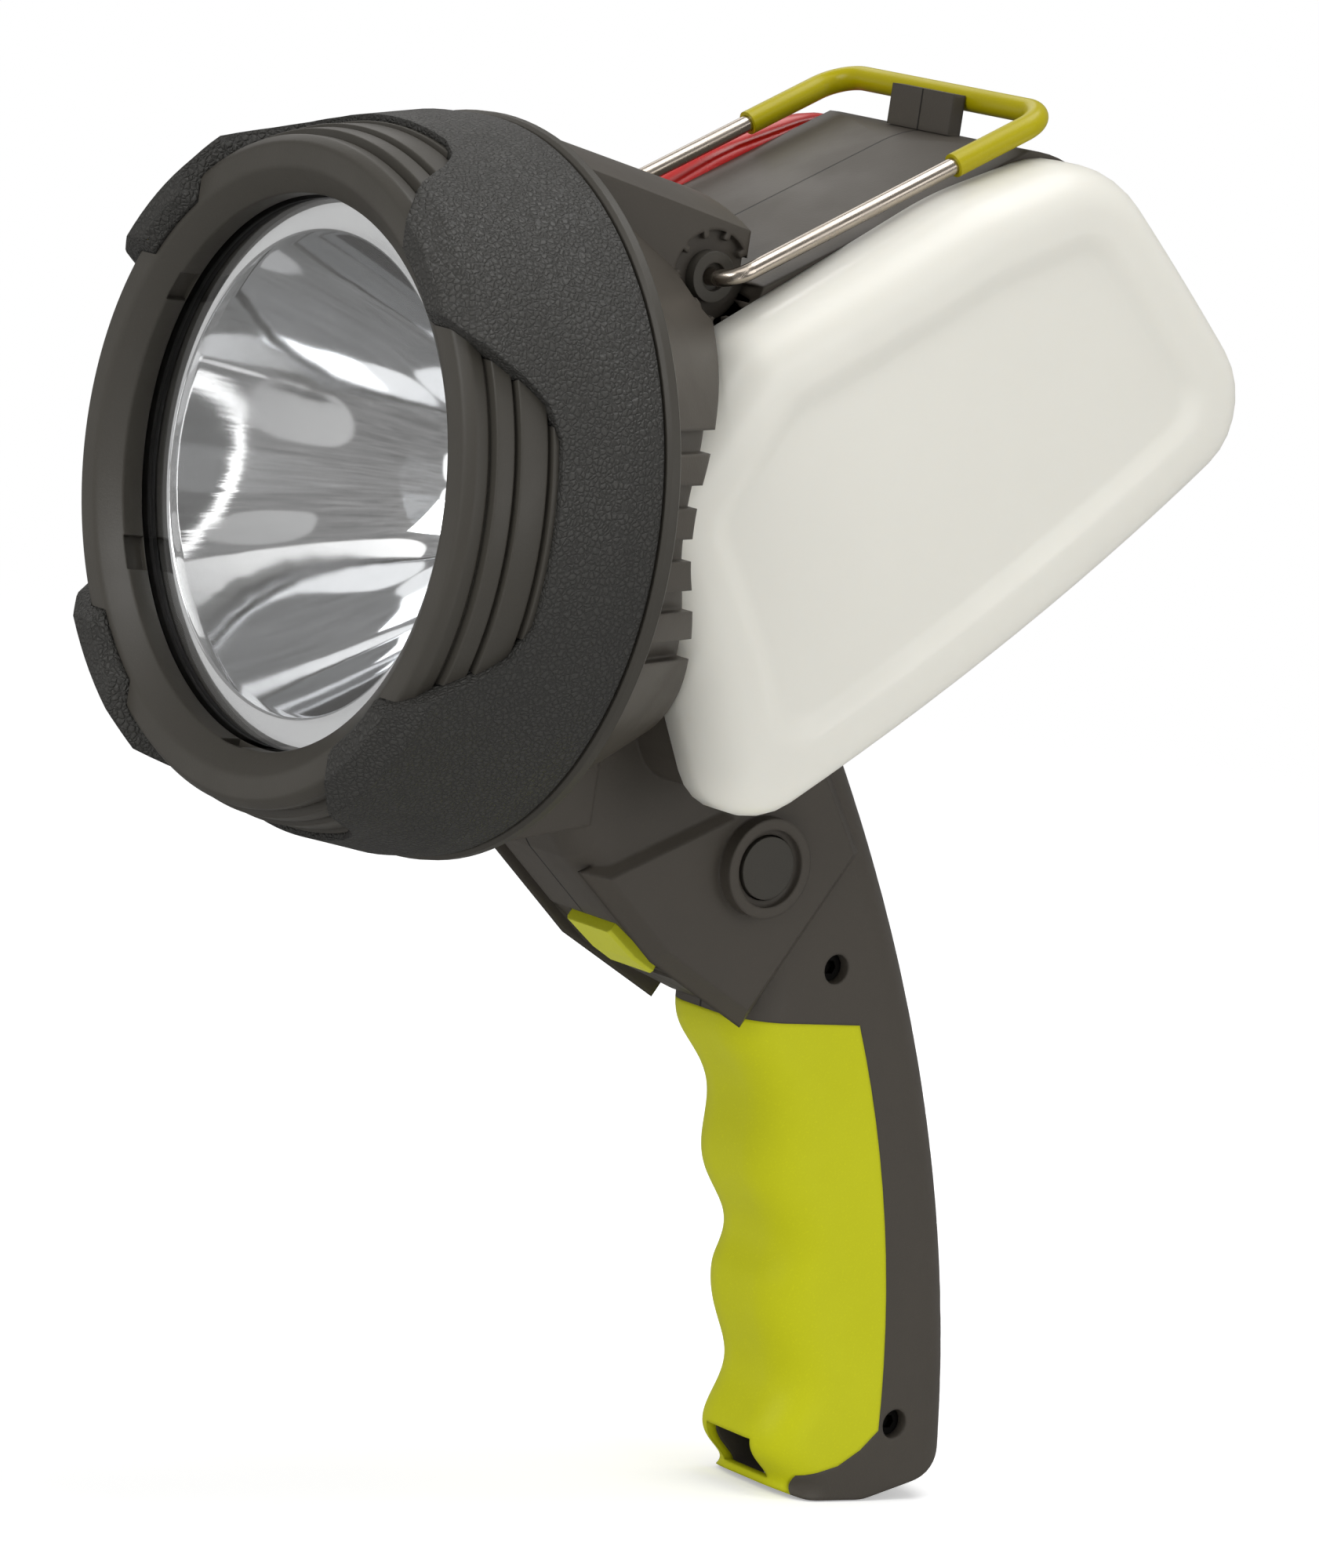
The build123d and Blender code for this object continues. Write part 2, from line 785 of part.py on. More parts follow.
# Housing before it is split: outer skin, hollow, then the bosses, ribs and holes in it
with BuildPart() as housing:
    add(funnel_solid(0))
    add(hood_solid(0))
    add(funnel_slots.part, mode=Mode.SUBTRACT)
    add(side_cut(0), mode=Mode.SUBTRACT)
    add(core_solid(0))
    add(neck_solid(0))
    for side in (-1, 1):
        with BuildSketch(Plane.YZ.offset(side * neck_side_x)):
            Polygon(
                plateau_corner,
                plateau_ridge,
                plateau_top,
                plateau_shoulder,
                plateau_rear,
                plateau_tip,
                plateau_front,
                align=None,
            )
        extrude(amount=-side * (plateau_rise + plateau_root), taper=-plateau_slope_degrees)
    with BuildSketch(Plane.YZ.offset(neck_half_width)):
        with Locations(button_centre):
            Circle(collar_radius)
    extrude(amount=plateau_rise + collar_rise)
    with Locations((0, bail_bar[0] - sleeve_radius - moving_gap - hook_thickness / 2, hook_top_z)):
        Box(
            2 * hook_half_width,
            hook_thickness,
            hook_height,
            align=(Align.CENTER, Align.CENTER, Align.MAX),
        )
    add(whole_handle.part)

with BuildPart() as hollow:
    add(funnel_solid(funnel_wall))
    add(hood_solid(housing_wall))
    add(side_cut(housing_wall), mode=Mode.SUBTRACT)
    add(core_solid(housing_wall))
    add(neck_solid(housing_wall))
    add(handle_solid(grip_thickness + housing_wall, handle_length - cavity_floor))

# Bosses, ledges and posts that stand in the hollow
board_centre = (button_centre[0], button_centre[1] + board_rise)
holder_bottom_z = cell_z - cell_radius - holder_plate
holder_length = cell_length + 2 * holder_end
holder_middle_y = cell_front_y + cell_length / 2
web_z = spring_floor_z + spring_length
with BuildPart() as inner_frame:
    for place in screws:
        with BuildSketch(Plane.YZ):
            with Locations(place):
                Circle(screw_boss_radius)
        extrude(amount=core_half_width, both=True)
    for side in (-1, 1):
        with BuildSketch(Plane.YZ.offset(side * recess_floor_x)):
            with Locations(bail_pivot):
                Circle(ratchet_radius)
        extrude(amount=side * (bush_inner_x - recess_floor_x))
        with BuildSketch(Plane.YZ.offset(side * (holder_half_width - ledge_overlap))):
            with Locations((holder_middle_y, holder_bottom_z)):
                Rectangle(holder_length, ledge_depth, align=(Align.CENTER, Align.MAX))
        extrude(amount=side * (core_half_width - holder_half_width))
        with BuildSketch(trigger_plane.offset(side * (window_half_width + seat_gap))):
            with Locations((pin_inset, pin_depth)):
                Rectangle(2 * pin_rib_half, 2 * pin_rib_half)
        extrude(amount=side * (neck_inner_x - trigger_half_width))
    with BuildSketch(Plane.YZ.offset(board_outer_x)):
        with Locations(board_centre):
            with GridLocations(board_length - 2 * post_inset, board_width - 2 * post_inset, 2, 2):
                Circle(post_radius)
    extrude(amount=neck_half_width - board_outer_x)
    with BuildSketch(Plane.YZ.offset(web_inner_x)):
        with Locations((spring_y, web_z)):
            Rectangle(2 * web_half_length, web_thickness, align=(Align.CENTER, Align.MIN))
    extrude(amount=neck_inner_x - web_inner_x + seat_gap)
    with BuildSketch(trigger_plane.offset(microswitch_inner_x)):
        with Locations((microswitch_start, microswitch_front + microswitch_height)):
            Rectangle(microswitch_length, microswitch_rib, align=(Align.MIN, Align.MIN))
    extrude(amount=-neck_inner_x - microswitch_inner_x - seat_gap)
    with BuildSketch(socket_plane):
        Rectangle(2 * (flap_half_width + pocket_margin), flap_length + 2 * pocket_margin)
    extrude(amount=-flap_thickness - moving_gap - pocket_backing)
    add(housing.part, mode=Mode.INTERSECT)

# Everything that is cut out of the finished housing
with BuildPart() as openings:
    with BuildSketch(Plane.YZ.offset(screw_seat_x)):
        with Locations(*screws):
            Circle(screw_hole_radius)
    extrude(amount=core_half_width)
    with BuildSketch(Plane.YZ.offset(screw_seat_x)):
        with Locations(*screws):
            Circle(screw_shank_radius)
    extrude(amount=-screw_length)
    for side in (-1, 1):
        with BuildSketch(Plane.YZ.offset(side * recess_floor_x)):
            with Locations(bail_pivot):
                Circle(ratchet_radius)
                with PolarLocations(ratchet_radius, ratchet_teeth):
                    Rectangle(2 * ratchet_tooth_height, ratchet_tooth_width, mode=Mode.SUBTRACT)
        extrude(amount=side * ratchet_radius)
        with BuildSketch(Plane.YZ.offset(side * bush_inner_x)):
            with Locations(bail_pivot):
                Circle(bush_radius)
        extrude(amount=side * ratchet_radius)
    with BuildSketch(Plane.YZ.offset(collar_x)):
        with Locations(button_centre):
            Circle(button_groove_radius)
    extrude(amount=-button_groove_depth)
    with BuildSketch(Plane.YZ.offset(collar_x)):
        with Locations(button_centre):
            Circle(button_guide_radius)
    extrude(amount=neck_inner_x - collar_x)
    with BuildSketch(trigger_plane):
        Polygon(
            (-recess_margin, -overrun),
            (face_length + recess_margin, -overrun),
            (face_length + recess_margin, recess_tip_depth),
            (-recess_margin, recess_top_depth),
            align=None,
        )
    extrude(amount=recess_half_width, both=True)
    with BuildSketch(trigger_plane):
        with Locations((-trigger_end_gap, 0)):
            Rectangle(
                face_length + 2 * trigger_end_gap,
                trigger_depth,
                align=(Align.MIN, Align.MIN),
            )
    extrude(amount=window_half_width, both=True)
    with BuildSketch(trigger_plane):
        with Locations((pin_inset, pin_depth)):
            Circle(pin_radius)
    extrude(amount=pin_half_length, both=True)
    with BuildSketch(socket_plane.offset(-flap_thickness - moving_gap)):
        Rectangle(2 * (flap_half_width + moving_gap), flap_length + 2 * moving_gap)
    extrude(amount=overrun)
    with BuildSketch(socket_plane):
        Circle(socket_radius)
    extrude(amount=-socket_length - flap_thickness - moving_gap)
    add(strap_slot.part)

with BuildPart() as shell:
    add(housing.part)
    add(hollow.part, mode=Mode.SUBTRACT)
    add(inner_frame.part)
    add(openings.part, mode=Mode.SUBTRACT)
    add(soft_grip.part, mode=Mode.SUBTRACT)

with BuildPart() as housing_left:
    Box(reach, reach, reach, align=(Align.MIN, Align.CENTER, Align.CENTER))
    add(shell.part, mode=Mode.INTERSECT)
write(housing_left.part, "housing_left")

with BuildPart() as housing_right:
    Box(reach, reach, reach, align=(Align.MAX, Align.CENTER, Align.CENTER))
    add(shell.part, mode=Mode.INTERSECT)
write(housing_right.part, "housing_right")


# A side cover is domed, with a rounded edge, a sunk panel and a flange that seats on the core
def cover_prism(inset, base_x):
    with BuildPart() as solid:
        with BuildSketch(Plane.YZ.offset(base_x)):
            with BuildLine():
                body_outline()
            make_face()
            offset(amount=-inset)
        extrude(amount=cover_crown_x - base_x)
    return solid.part


def cover_block(inset, base_x, round_radius):
    with BuildPart() as solid:
        add(cover_prism(inset, base_x))
        with Locations((cover_crown_x - cover_dome_radius, *cover_centre)):
            Sphere(cover_dome_radius - inset, mode=Mode.INTERSECT)
        outer = solid.edges().filter_by_position(Axis.X, base_x + round_radius, cover_crown_x)
        fillet(outer.filter_by(Axis.X, reverse=True), radius=round_radius)
    return solid.part


with BuildPart() as panel_sink:
    add(cover_prism(panel_margin, core_half_width))
    with Locations((cover_crown_x - cover_dome_radius, *cover_centre)):
        Sphere(cover_dome_radius - panel_depth, mode=Mode.SUBTRACT)

with BuildPart() as white_diffuser:
    add(cover_block(0, core_half_width, cover_round))
    add(cover_block(cover_wall, core_half_width + cover_flange, cover_inner_round), mode=Mode.SUBTRACT)
    with BuildSketch(Plane.YZ.offset(core_half_width)):
        with BuildLine():
            body_outline()
        make_face()
        offset(amount=-cover_flange_width)
    extrude(amount=2 * cover_flange, mode=Mode.SUBTRACT)
    add(panel_sink.part, mode=Mode.SUBTRACT)
write(white_diffuser.part, "white_diffuser")

with BuildPart() as red_diffuser:
    mirror(white_diffuser.part, about=Plane.YZ)
write(red_diffuser.part, "red_diffuser")

# Light boards behind the covers, each with its grid of light sources
for side, board_label, light_label in (
    (1, "work_light_board", "work_light_leds"),
    (-1, "hazard_light_board", "hazard_leds"),
):
    with BuildPart() as light_board:
        with BuildSketch(Plane.YZ.offset(side * core_half_width)):
            with BuildLine():
                body_outline()
            make_face()
            offset(amount=-light_board_margin)
        extrude(amount=side * light_board_thickness)
    write(light_board.part, board_label)
    with BuildPart() as light_sources:
        with BuildSketch(Plane.YZ.offset(side * board_x)):
            with Locations(cover_centre):
                with GridLocations(light_led_pitch, light_led_pitch, light_led_rows, light_led_rows):
                    Rectangle(light_led_size, light_led_size)
        extrude(amount=side * light_led_height)
    write(light_sources.part, light_label)

# Bail: one bent wire whose feet turn in to the bushes, and a sleeve over its crossbar
with BuildPart() as bail_wire:
    with BuildLine(bail_plane) as wire_path:
        FilletPolyline(
            (bail_foot_x, 0),
            (bail_half_width, 0),
            (bail_half_width, bail_length),
            (-bail_half_width, bail_length),
            (-bail_half_width, 0),
            (-bail_foot_x, 0),
            radius=[bail_foot_bend, bail_bend, bail_bend, bail_foot_bend],
        )
    with BuildSketch(Plane(origin=wire_path.line @ 0, z_dir=wire_path.line % 0)):
        Circle(wire_radius)
    sweep()
write(bail_wire.part, "bail_wire")

with BuildPart() as bail_sleeve:
    with BuildLine(bail_plane) as sleeve_path:
        FilletPolyline(
            (bail_half_width, bail_length - sleeve_leg_length),
            (bail_half_width, bail_length),
            (-bail_half_width, bail_length),
            (-bail_half_width, bail_length - sleeve_leg_length),
            radius=bail_bend,
        )
    with BuildSketch(Plane(origin=sleeve_path.line @ 0, z_dir=sleeve_path.line % 0)):
        Circle(sleeve_radius)
        Circle(wire_radius, mode=Mode.SUBTRACT)
    sweep()
write(bail_sleeve.part, "bail_sleeve")

with BuildPart() as ratchet_bushes:
    for side in (-1, 1):
        with BuildSketch(Plane.YZ.offset(side * bush_inner_x)):
            with Locations(bail_pivot):
                Circle(bush_radius)
        extrude(amount=side * (recess_floor_x - bush_inner_x))
        with BuildSketch(Plane.YZ.offset(side * recess_floor_x)):
            with Locations(bail_pivot):
                Circle(hub_radius)
        extrude(amount=side * (ratchet_depth + hub_rise))
        with BuildSketch(Plane.YZ.offset(side * (hood_half_width + hub_rise))):
            with Locations(bail_pivot):
                Circle(hub_mouth_radius)
        extrude(amount=-side * hub_mouth_depth, mode=Mode.SUBTRACT)
    with BuildSketch(Plane.YZ):
        with Locations(bail_pivot):
            Circle(wire_radius + running_gap)
    extrude(amount=hood_half_width + ratchet_depth, both=True, mode=Mode.SUBTRACT)
write(ratchet_bushes.part, "ratchet_bushes")

# Mode button with its retaining flange, and the switch that it presses
with BuildPart() as mode_button:
    with BuildSketch(Plane.YZ.offset(flange_inner_x)):
        with Locations(button_centre):
            Circle(button_radius)
    extrude(amount=collar_x - button_sink - flange_inner_x)
    with BuildSketch(Plane.YZ.offset(flange_inner_x)):
        with Locations(button_centre):
            Circle(button_flange_radius)
    extrude(amount=button_flange)
write(mode_button.part, "mode_button")

with BuildPart() as mode_switch:
    with BuildSketch(Plane.YZ.offset(board_outer_x)):
        with Locations(button_centre):
            Rectangle(switch_size, switch_size)
    extrude(amount=switch_height)
    with BuildSketch(Plane.YZ.offset(board_outer_x + switch_height)):
        with Locations(button_centre):
            Circle(switch_plunger_radius)
    extrude(amount=switch_plunger)
write(mode_switch.part, "mode_switch")

with BuildPart() as control_board:
    with BuildSketch(Plane.YZ.offset(board_outer_x)):
        with Locations(board_centre):
            Rectangle(board_length, board_width)
    extrude(amount=-board_thickness)
write(control_board.part, "control_board")

# Trigger with its pin, return spring and microswitch
with BuildPart() as trigger:
    with BuildSketch(trigger_plane):
        Polygon(
            (0, 0),
            (face_length * trigger_kink_share, -trigger_kink),
            (face_length, 0),
            (face_length - trigger_end_slope, trigger_depth),
            (0, trigger_depth),
            align=None,
        )
    extrude(amount=trigger_half_width, both=True)
    side_edges = trigger.edges().filter_by(lambda edge: abs(edge.center().X) > trigger_half_width / 2)
    chamfer(side_edges.sort_by(neck_inward)[:4], trigger_bevel)
    with BuildSketch(trigger_plane):
        with Locations((pin_inset, pin_depth)):
            Circle(pin_radius + running_gap)
    extrude(amount=trigger_half_width, both=True, mode=Mode.SUBTRACT)
    with BuildSketch(Plane.XY.offset(spring_floor_z)):
        with Locations((spring_x, spring_y)):
            Circle(spring_radius + spring_wire_radius + seat_gap)
    extrude(amount=spring_length, mode=Mode.SUBTRACT)
write(trigger.part, "trigger")

with BuildPart() as trigger_pin:
    with BuildSketch(trigger_plane):
        with Locations((pin_inset, pin_depth)):
            Circle(pin_radius)
    extrude(amount=pin_half_length, both=True)
write(trigger_pin.part, "trigger_pin")

spring_height = spring_length - 2 * (spring_wire_radius + running_gap)
with BuildPart() as trigger_spring:
    with BuildLine() as spring_path:
        Helix(
            spring_height / spring_turns,
            spring_height,
            spring_radius,
            center=(spring_x, spring_y, spring_floor_z + spring_wire_radius + running_gap),
        )
    with BuildSketch(Plane(origin=spring_path.line @ 0, z_dir=spring_path.line % 0)):
        Circle(spring_wire_radius)
    sweep()
write(trigger_spring.part, "trigger_spring")

with BuildPart() as trigger_switch:
    with BuildSketch(trigger_plane.offset(microswitch_inner_x)):
        with Locations((microswitch_start, microswitch_front)):
            Rectangle(microswitch_length, microswitch_height, align=(Align.MIN, Align.MIN))
    extrude(amount=microswitch_outer_x - microswitch_inner_x)
    button_axis = (microswitch_start + microswitch_length / 3, microswitch_front)
    with BuildSketch(trigger_plane.offset((microswitch_inner_x + microswitch_outer_x) / 2)):
        with Locations(button_axis):
            Rectangle(2 * microswitch_button_radius, 2 * microswitch_button_rise)
    extrude(amount=microswitch_button_radius, both=True)
write(trigger_switch.part, "trigger_switch")

# Battery cells and their holder
with BuildPart() as battery_cells:
    with BuildSketch(Plane.XZ.offset(-cell_front_y)):
        with Locations((0, cell_z)):
            with GridLocations(cell_spacing, 0, 2, 1):
                Circle(cell_radius)
    extrude(amount=-cell_length)
write(battery_cells.part, "battery_cells")

with BuildPart() as battery_holder:
    with Locations((0, holder_middle_y, holder_bottom_z)):
        Box(
            2 * holder_half_width,
            holder_length,
            holder_plate,
            align=(Align.CENTER, Align.CENTER, Align.MIN),
        )
    for end in (-1, 1):
        with Locations((0, holder_middle_y + end * (cell_length + holder_end) / 2, holder_bottom_z)):
            Box(
                2 * holder_half_width,
                holder_end,
                holder_end_height,
                align=(Align.CENTER, Align.CENTER, Align.MIN),
            )
write(battery_holder.part, "battery_holder")

# Charging socket in its pocket, and the soft flap that hinges over it
pocket_floor = socket_plane.offset(-flap_thickness - moving_gap)
with BuildPart() as charge_socket:
    with BuildSketch(pocket_floor):
        Circle(socket_radius)
    extrude(amount=-socket_length)
    with BuildSketch(pocket_floor):
        Circle(socket_bore_radius)
        Circle(socket_pin_radius, mode=Mode.SUBTRACT)
    extrude(amount=-socket_bore_depth, mode=Mode.SUBTRACT)
write(charge_socket.part, "charge_socket")

with BuildPart() as socket_flap:
    with BuildSketch(socket_plane):
        RectangleRounded(2 * flap_half_width, flap_length, flap_round)
    extrude(amount=-flap_thickness)
write(socket_flap.part, "socket_flap")

# Four alike screws, driven from the +X side
with BuildPart() as housing_screws:
    with BuildSketch(Plane.YZ.offset(screw_seat_x)):
        with Locations(*screws):
            Circle(screw_head_radius)
    extrude(amount=screw_head_height)
    with BuildSketch(Plane.YZ.offset(screw_seat_x + screw_head_height)):
        with Locations(*screws):
            RegularPolygon(hex_radius, 6)
    extrude(amount=-hex_depth, mode=Mode.SUBTRACT)
    with BuildSketch(Plane.YZ.offset(screw_seat_x)):
        with Locations(*screws):
            Circle(screw_shank_radius)
    extrude(amount=-screw_length)
write(housing_screws.part, "housing_screws")
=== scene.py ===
import math
import bmesh
import bpy
from mathutils import Matrix, Vector


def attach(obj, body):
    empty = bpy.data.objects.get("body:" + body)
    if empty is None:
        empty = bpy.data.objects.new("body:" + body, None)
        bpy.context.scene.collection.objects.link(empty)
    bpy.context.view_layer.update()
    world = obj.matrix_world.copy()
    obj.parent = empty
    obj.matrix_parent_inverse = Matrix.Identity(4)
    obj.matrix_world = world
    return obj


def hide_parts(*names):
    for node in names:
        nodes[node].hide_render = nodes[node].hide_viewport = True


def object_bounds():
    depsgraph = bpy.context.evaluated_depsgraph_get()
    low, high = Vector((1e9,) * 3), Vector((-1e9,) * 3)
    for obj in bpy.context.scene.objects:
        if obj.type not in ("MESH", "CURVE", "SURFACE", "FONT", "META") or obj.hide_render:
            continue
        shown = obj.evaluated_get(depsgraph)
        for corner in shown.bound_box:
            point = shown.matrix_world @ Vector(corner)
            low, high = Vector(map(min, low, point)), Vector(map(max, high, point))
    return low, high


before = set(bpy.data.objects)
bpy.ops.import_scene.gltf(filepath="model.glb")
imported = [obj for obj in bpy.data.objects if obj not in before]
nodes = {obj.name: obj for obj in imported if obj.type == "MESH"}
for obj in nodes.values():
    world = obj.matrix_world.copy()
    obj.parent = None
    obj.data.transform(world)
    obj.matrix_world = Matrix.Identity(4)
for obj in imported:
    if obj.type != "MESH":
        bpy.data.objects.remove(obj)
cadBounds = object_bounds()
scene = bpy.context.scene
print("frame loaded:", len(nodes), "nodes")

mm = 0.001


# Camera

cameraView = {
    "location": (1.181, -0.837, 0.1387),
    "right": (0.5994, 0.7866, 0.1484),
    "up": (-0.1917, -0.0390, 0.9807),
    "back": (0.7772, -0.6163, 0.1274),
    "lens": 214.03,
    "sensor": 36.0,
    "clipEnd": 50,
}


def placeCamera(look):
    data = bpy.data.cameras.new("camera")
    data.sensor_fit = "HORIZONTAL"
    data.sensor_width = look["sensor"]
    data.lens = look["lens"]
    data.clip_end = look["clipEnd"]
    camera = bpy.data.objects.new("camera", data)
    scene.collection.objects.link(camera)
    turn = Matrix((look["right"], look["up"], look["back"])).transposed()
    camera.rotation_mode = "QUATERNION"
    camera.rotation_quaternion = turn.to_quaternion().normalized()
    camera.location = look["location"]
    scene.camera = camera


placeCamera(cameraView)
scene.view_settings.view_transform = "Standard"


# Helpers for shader nodes, materials and meshes

def addNode(tree, kind, values=None, **props):
    node = tree.nodes.new("ShaderNode" + kind)
    for key, value in props.items():
        setattr(node, key, value)
    for key, value in (values or {}).items():
        if isinstance(value, bpy.types.NodeSocket):
            tree.links.new(value, node.inputs[key])
        else:
            node.inputs[key].default_value = value
    return node


def mathNode(tree, operation, a, b=0.0):
    return addNode(tree, "Math", {0: a, 1: b}, operation=operation).outputs[0]


def vectorNode(tree, operation, a, b=(0, 0, 0), output="Vector"):
    return addNode(tree, "VectorMath", {0: a, 1: b}, operation=operation).outputs[output]


def rangeNode(tree, value, low, high, toLow=0.0, toHigh=1.0):
    values = {"Value": value, "From Min": low, "From Max": high, "To Min": toLow, "To Max": toHigh}
    return addNode(tree, "MapRange", values, interpolation_type="SMOOTHSTEP").outputs[0]


def mixValue(tree, factor, a, b):
    return addNode(tree, "Mix", {0: factor, 2: a, 3: b}).outputs[0]


def mixColour(tree, factor, a, b):
    return addNode(tree, "Mix", {0: factor, 6: a, 7: b}, data_type="RGBA").outputs[2]


def objectPlace(tree):
    return addNode(tree, "TexCoord").outputs["Object"]


def noiseNode(tree, place, values):
    return addNode(tree, "TexNoise", {"Vector": place, **values}).outputs


def cellNode(tree, place, scale, feature="F1"):
    return addNode(tree, "TexVoronoi", {"Vector": place, "Scale": scale}, feature=feature).outputs["Distance"]


def bumpNode(tree, height, strength, distance, normal=None):
    values = {"Height": height, "Strength": strength, "Distance": distance}
    if normal is not None:
        values["Normal"] = normal
    return addNode(tree, "Bump", values).outputs[0]


def emptyMaterial(name):
    material = bpy.data.materials.new(name)
    material.use_nodes = True
    material.node_tree.nodes.clear()
    return material, material.node_tree


def objectFrom(bm, name):
    mesh = bpy.data.meshes.new(name)
    bm.to_mesh(mesh)
    bm.free()
    made = bpy.data.objects.new(name, mesh)
    scene.collection.objects.link(made)
    return made


# White studio: world, floor and lamps

studio = {
    "ambient": 0.5,
    "floorColour": 0.94,
    "floorGlow": 0.36,
    "floorSize": 4.0,
    "floorSides": 96,
    "floorGap": 0.0003,
    "floorFade": (0.5, 1.6),
}
lamps = {
    # place, target, size and power
    "keyLamp": ((0.35, -1.5, 0.85), (0, 0.05, 0), (1.0, 0.8), 11.0),
    "topLamp": ((0.1, 0.5, 1.5), (0, 0.1, 0), (1.2, 0.9), 12.0),
    "sideLamp": ((1.6, 0.55, 0.35), (0, 0.12, 0), (0.9, 0.9), 5.0),
}


def seenMask(tree):
    # 1 for camera, glossy and transmission rays, 0 for those that only bring light
    path = addNode(tree, "LightPath").outputs
    seen = mathNode(tree, "MAXIMUM", path["Is Camera Ray"], path["Is Glossy Ray"])
    return mathNode(tree, "MAXIMUM", seen, path["Is Transmission Ray"])


def whiteStrength(tree, look):
    # pure white where it is seen, and dimmer as a light on the object
    return rangeNode(tree, seenMask(tree), 0, 1, look["ambient"], 1.0)


def makeWorld(look):
    world = bpy.data.worlds.new("studio")
    scene.world = world
    world.use_nodes = True
    tree = world.node_tree
    tree.nodes.clear()
    background = addNode(tree, "Background", {"Color": (1, 1, 1, 1), "Strength": whiteStrength(tree, look)})
    addNode(tree, "OutputWorld", {"Surface": background.outputs[0]})


def makeFloor(look):
    bm = bmesh.new()
    bmesh.ops.create_circle(bm, cap_ends=True, segments=look["floorSides"], radius=look["floorSize"])
    bmesh.ops.translate(bm, verts=bm.verts, vec=(0, 0, cadBounds[0].z - look["floorGap"]))
    floor = objectFrom(bm, "floor")
    material, tree = emptyMaterial("floor")
    flat = vectorNode(tree, "MULTIPLY", objectPlace(tree), (1, 1, 0))
    away = vectorNode(tree, "LENGTH", flat, output="Value")
    shade = look["floorColour"]
    paper = addNode(tree, "BsdfDiffuse", {"Color": (shade, shade, shade, 1)})
    glowStrength = mathNode(tree, "MULTIPLY", seenMask(tree), look["floorGlow"])
    glow = addNode(tree, "Emission", {"Color": (1, 1, 1, 1), "Strength": glowStrength})
    near = addNode(tree, "AddShader", {0: paper.outputs[0], 1: glow.outputs[0]})
    far = addNode(tree, "Emission", {"Color": (1, 1, 1, 1), "Strength": whiteStrength(tree, look)})
    fade = rangeNode(tree, away, *look["floorFade"])
    mix = addNode(tree, "MixShader", {0: fade, 1: near.outputs[0], 2: far.outputs[0]})
    addNode(tree, "OutputMaterial", {"Surface": mix.outputs[0]})
    floor.data.materials.append(material)
    floor.visible_glossy = False
    floor.visible_transmission = False


def placeLamp(name, place, target, size, power):
    data = bpy.data.lights.new(name, "AREA")
    data.shape = "RECTANGLE"
    data.size, data.size_y = size
    data.energy = power
    lamp = bpy.data.objects.new(name, data)
    scene.collection.objects.link(lamp)
    lamp.location = place
    lamp.rotation_mode = "QUATERNION"
    lamp.rotation_quaternion = (Vector(target) - Vector(place)).to_track_quat("-Z", "Y")


makeWorld(studio)
makeFloor(studio)
for name, values in lamps.items():
    placeLamp(name, *values)


# Room around the object, seen only in shiny surfaces and through clear ones

room = {
    "radius": 2.4,
    "segments": (64, 32),
    "tint": (1.0, 0.985, 0.97, 1),
    "middle": 0.27,
    "low": 0.19,
    "lowSpan": (-60, 10),
    "high": 0.33,
    "highSpan": (30, 80),
    "least": 0.05,
    "streaks": 0.52,
    "cloudStretch": (5.0, 5.0, 30.0),
    "cloudNoise": {"Scale": 1.0, "Detail": 5.0, "Roughness": 0.6, "Distortion": 0.6},
    "lamp": 1.6,
    "pale": 0.66,
    "roundness": 2.6,
    "patches": {
        # azimuth, elevation, half width and half height in degrees, level, softness of the edge
        "paper": (-25.0, -27.0, 7.0, 15.0, "pale", 0.5),
        "card": (-24.0, 35.0, 6.0, 8.0, "pale", 0.5),
        "side": (-142.0, -7.0, 18.0, 16.0, "pale", 0.6),
        "front": (-104.0, 4.0, 15.0, 34.0, "pale", 1.0),
        "rear": (162.0, 38.0, 17.0, 13.0, "lamp", 1.2),
        "strip": (-46.0, 67.0, 38.0, 22.0, "lamp", 0.12),
        "window": (-68.0, 11.0, 7.0, 8.0, "lamp", 0.12),
        "shelf": (-67.0, -11.0, 7.5, 13.0, "lamp", 0.12),
        "glint": (-16.0, -41.0, 3.5, 1.0, "lamp", 0.3),
    },
    # painted reflection: a dark patch standing in for the reflection of the dark bezel lip in the reflector,
    # with a ragged bright rim standing in for the lip's highlights
    "lipReflection": (-12.5, 8.0, 5.0, 38.0),
    "lipReflectionSoft": 0.05,
    "dark": 0.06,
    "ragged": 1.3,
    "ragStretch": (8.0, 8.0, 70.0),
    "ragNoise": {"Scale": 1.0, "Detail": 3.0, "Roughness": 0.7},
    "lipHighlightRim": 3.0,
    "rimRise": (0.75, 1.0),
    "rimFall": (1.25, 1.7),
}


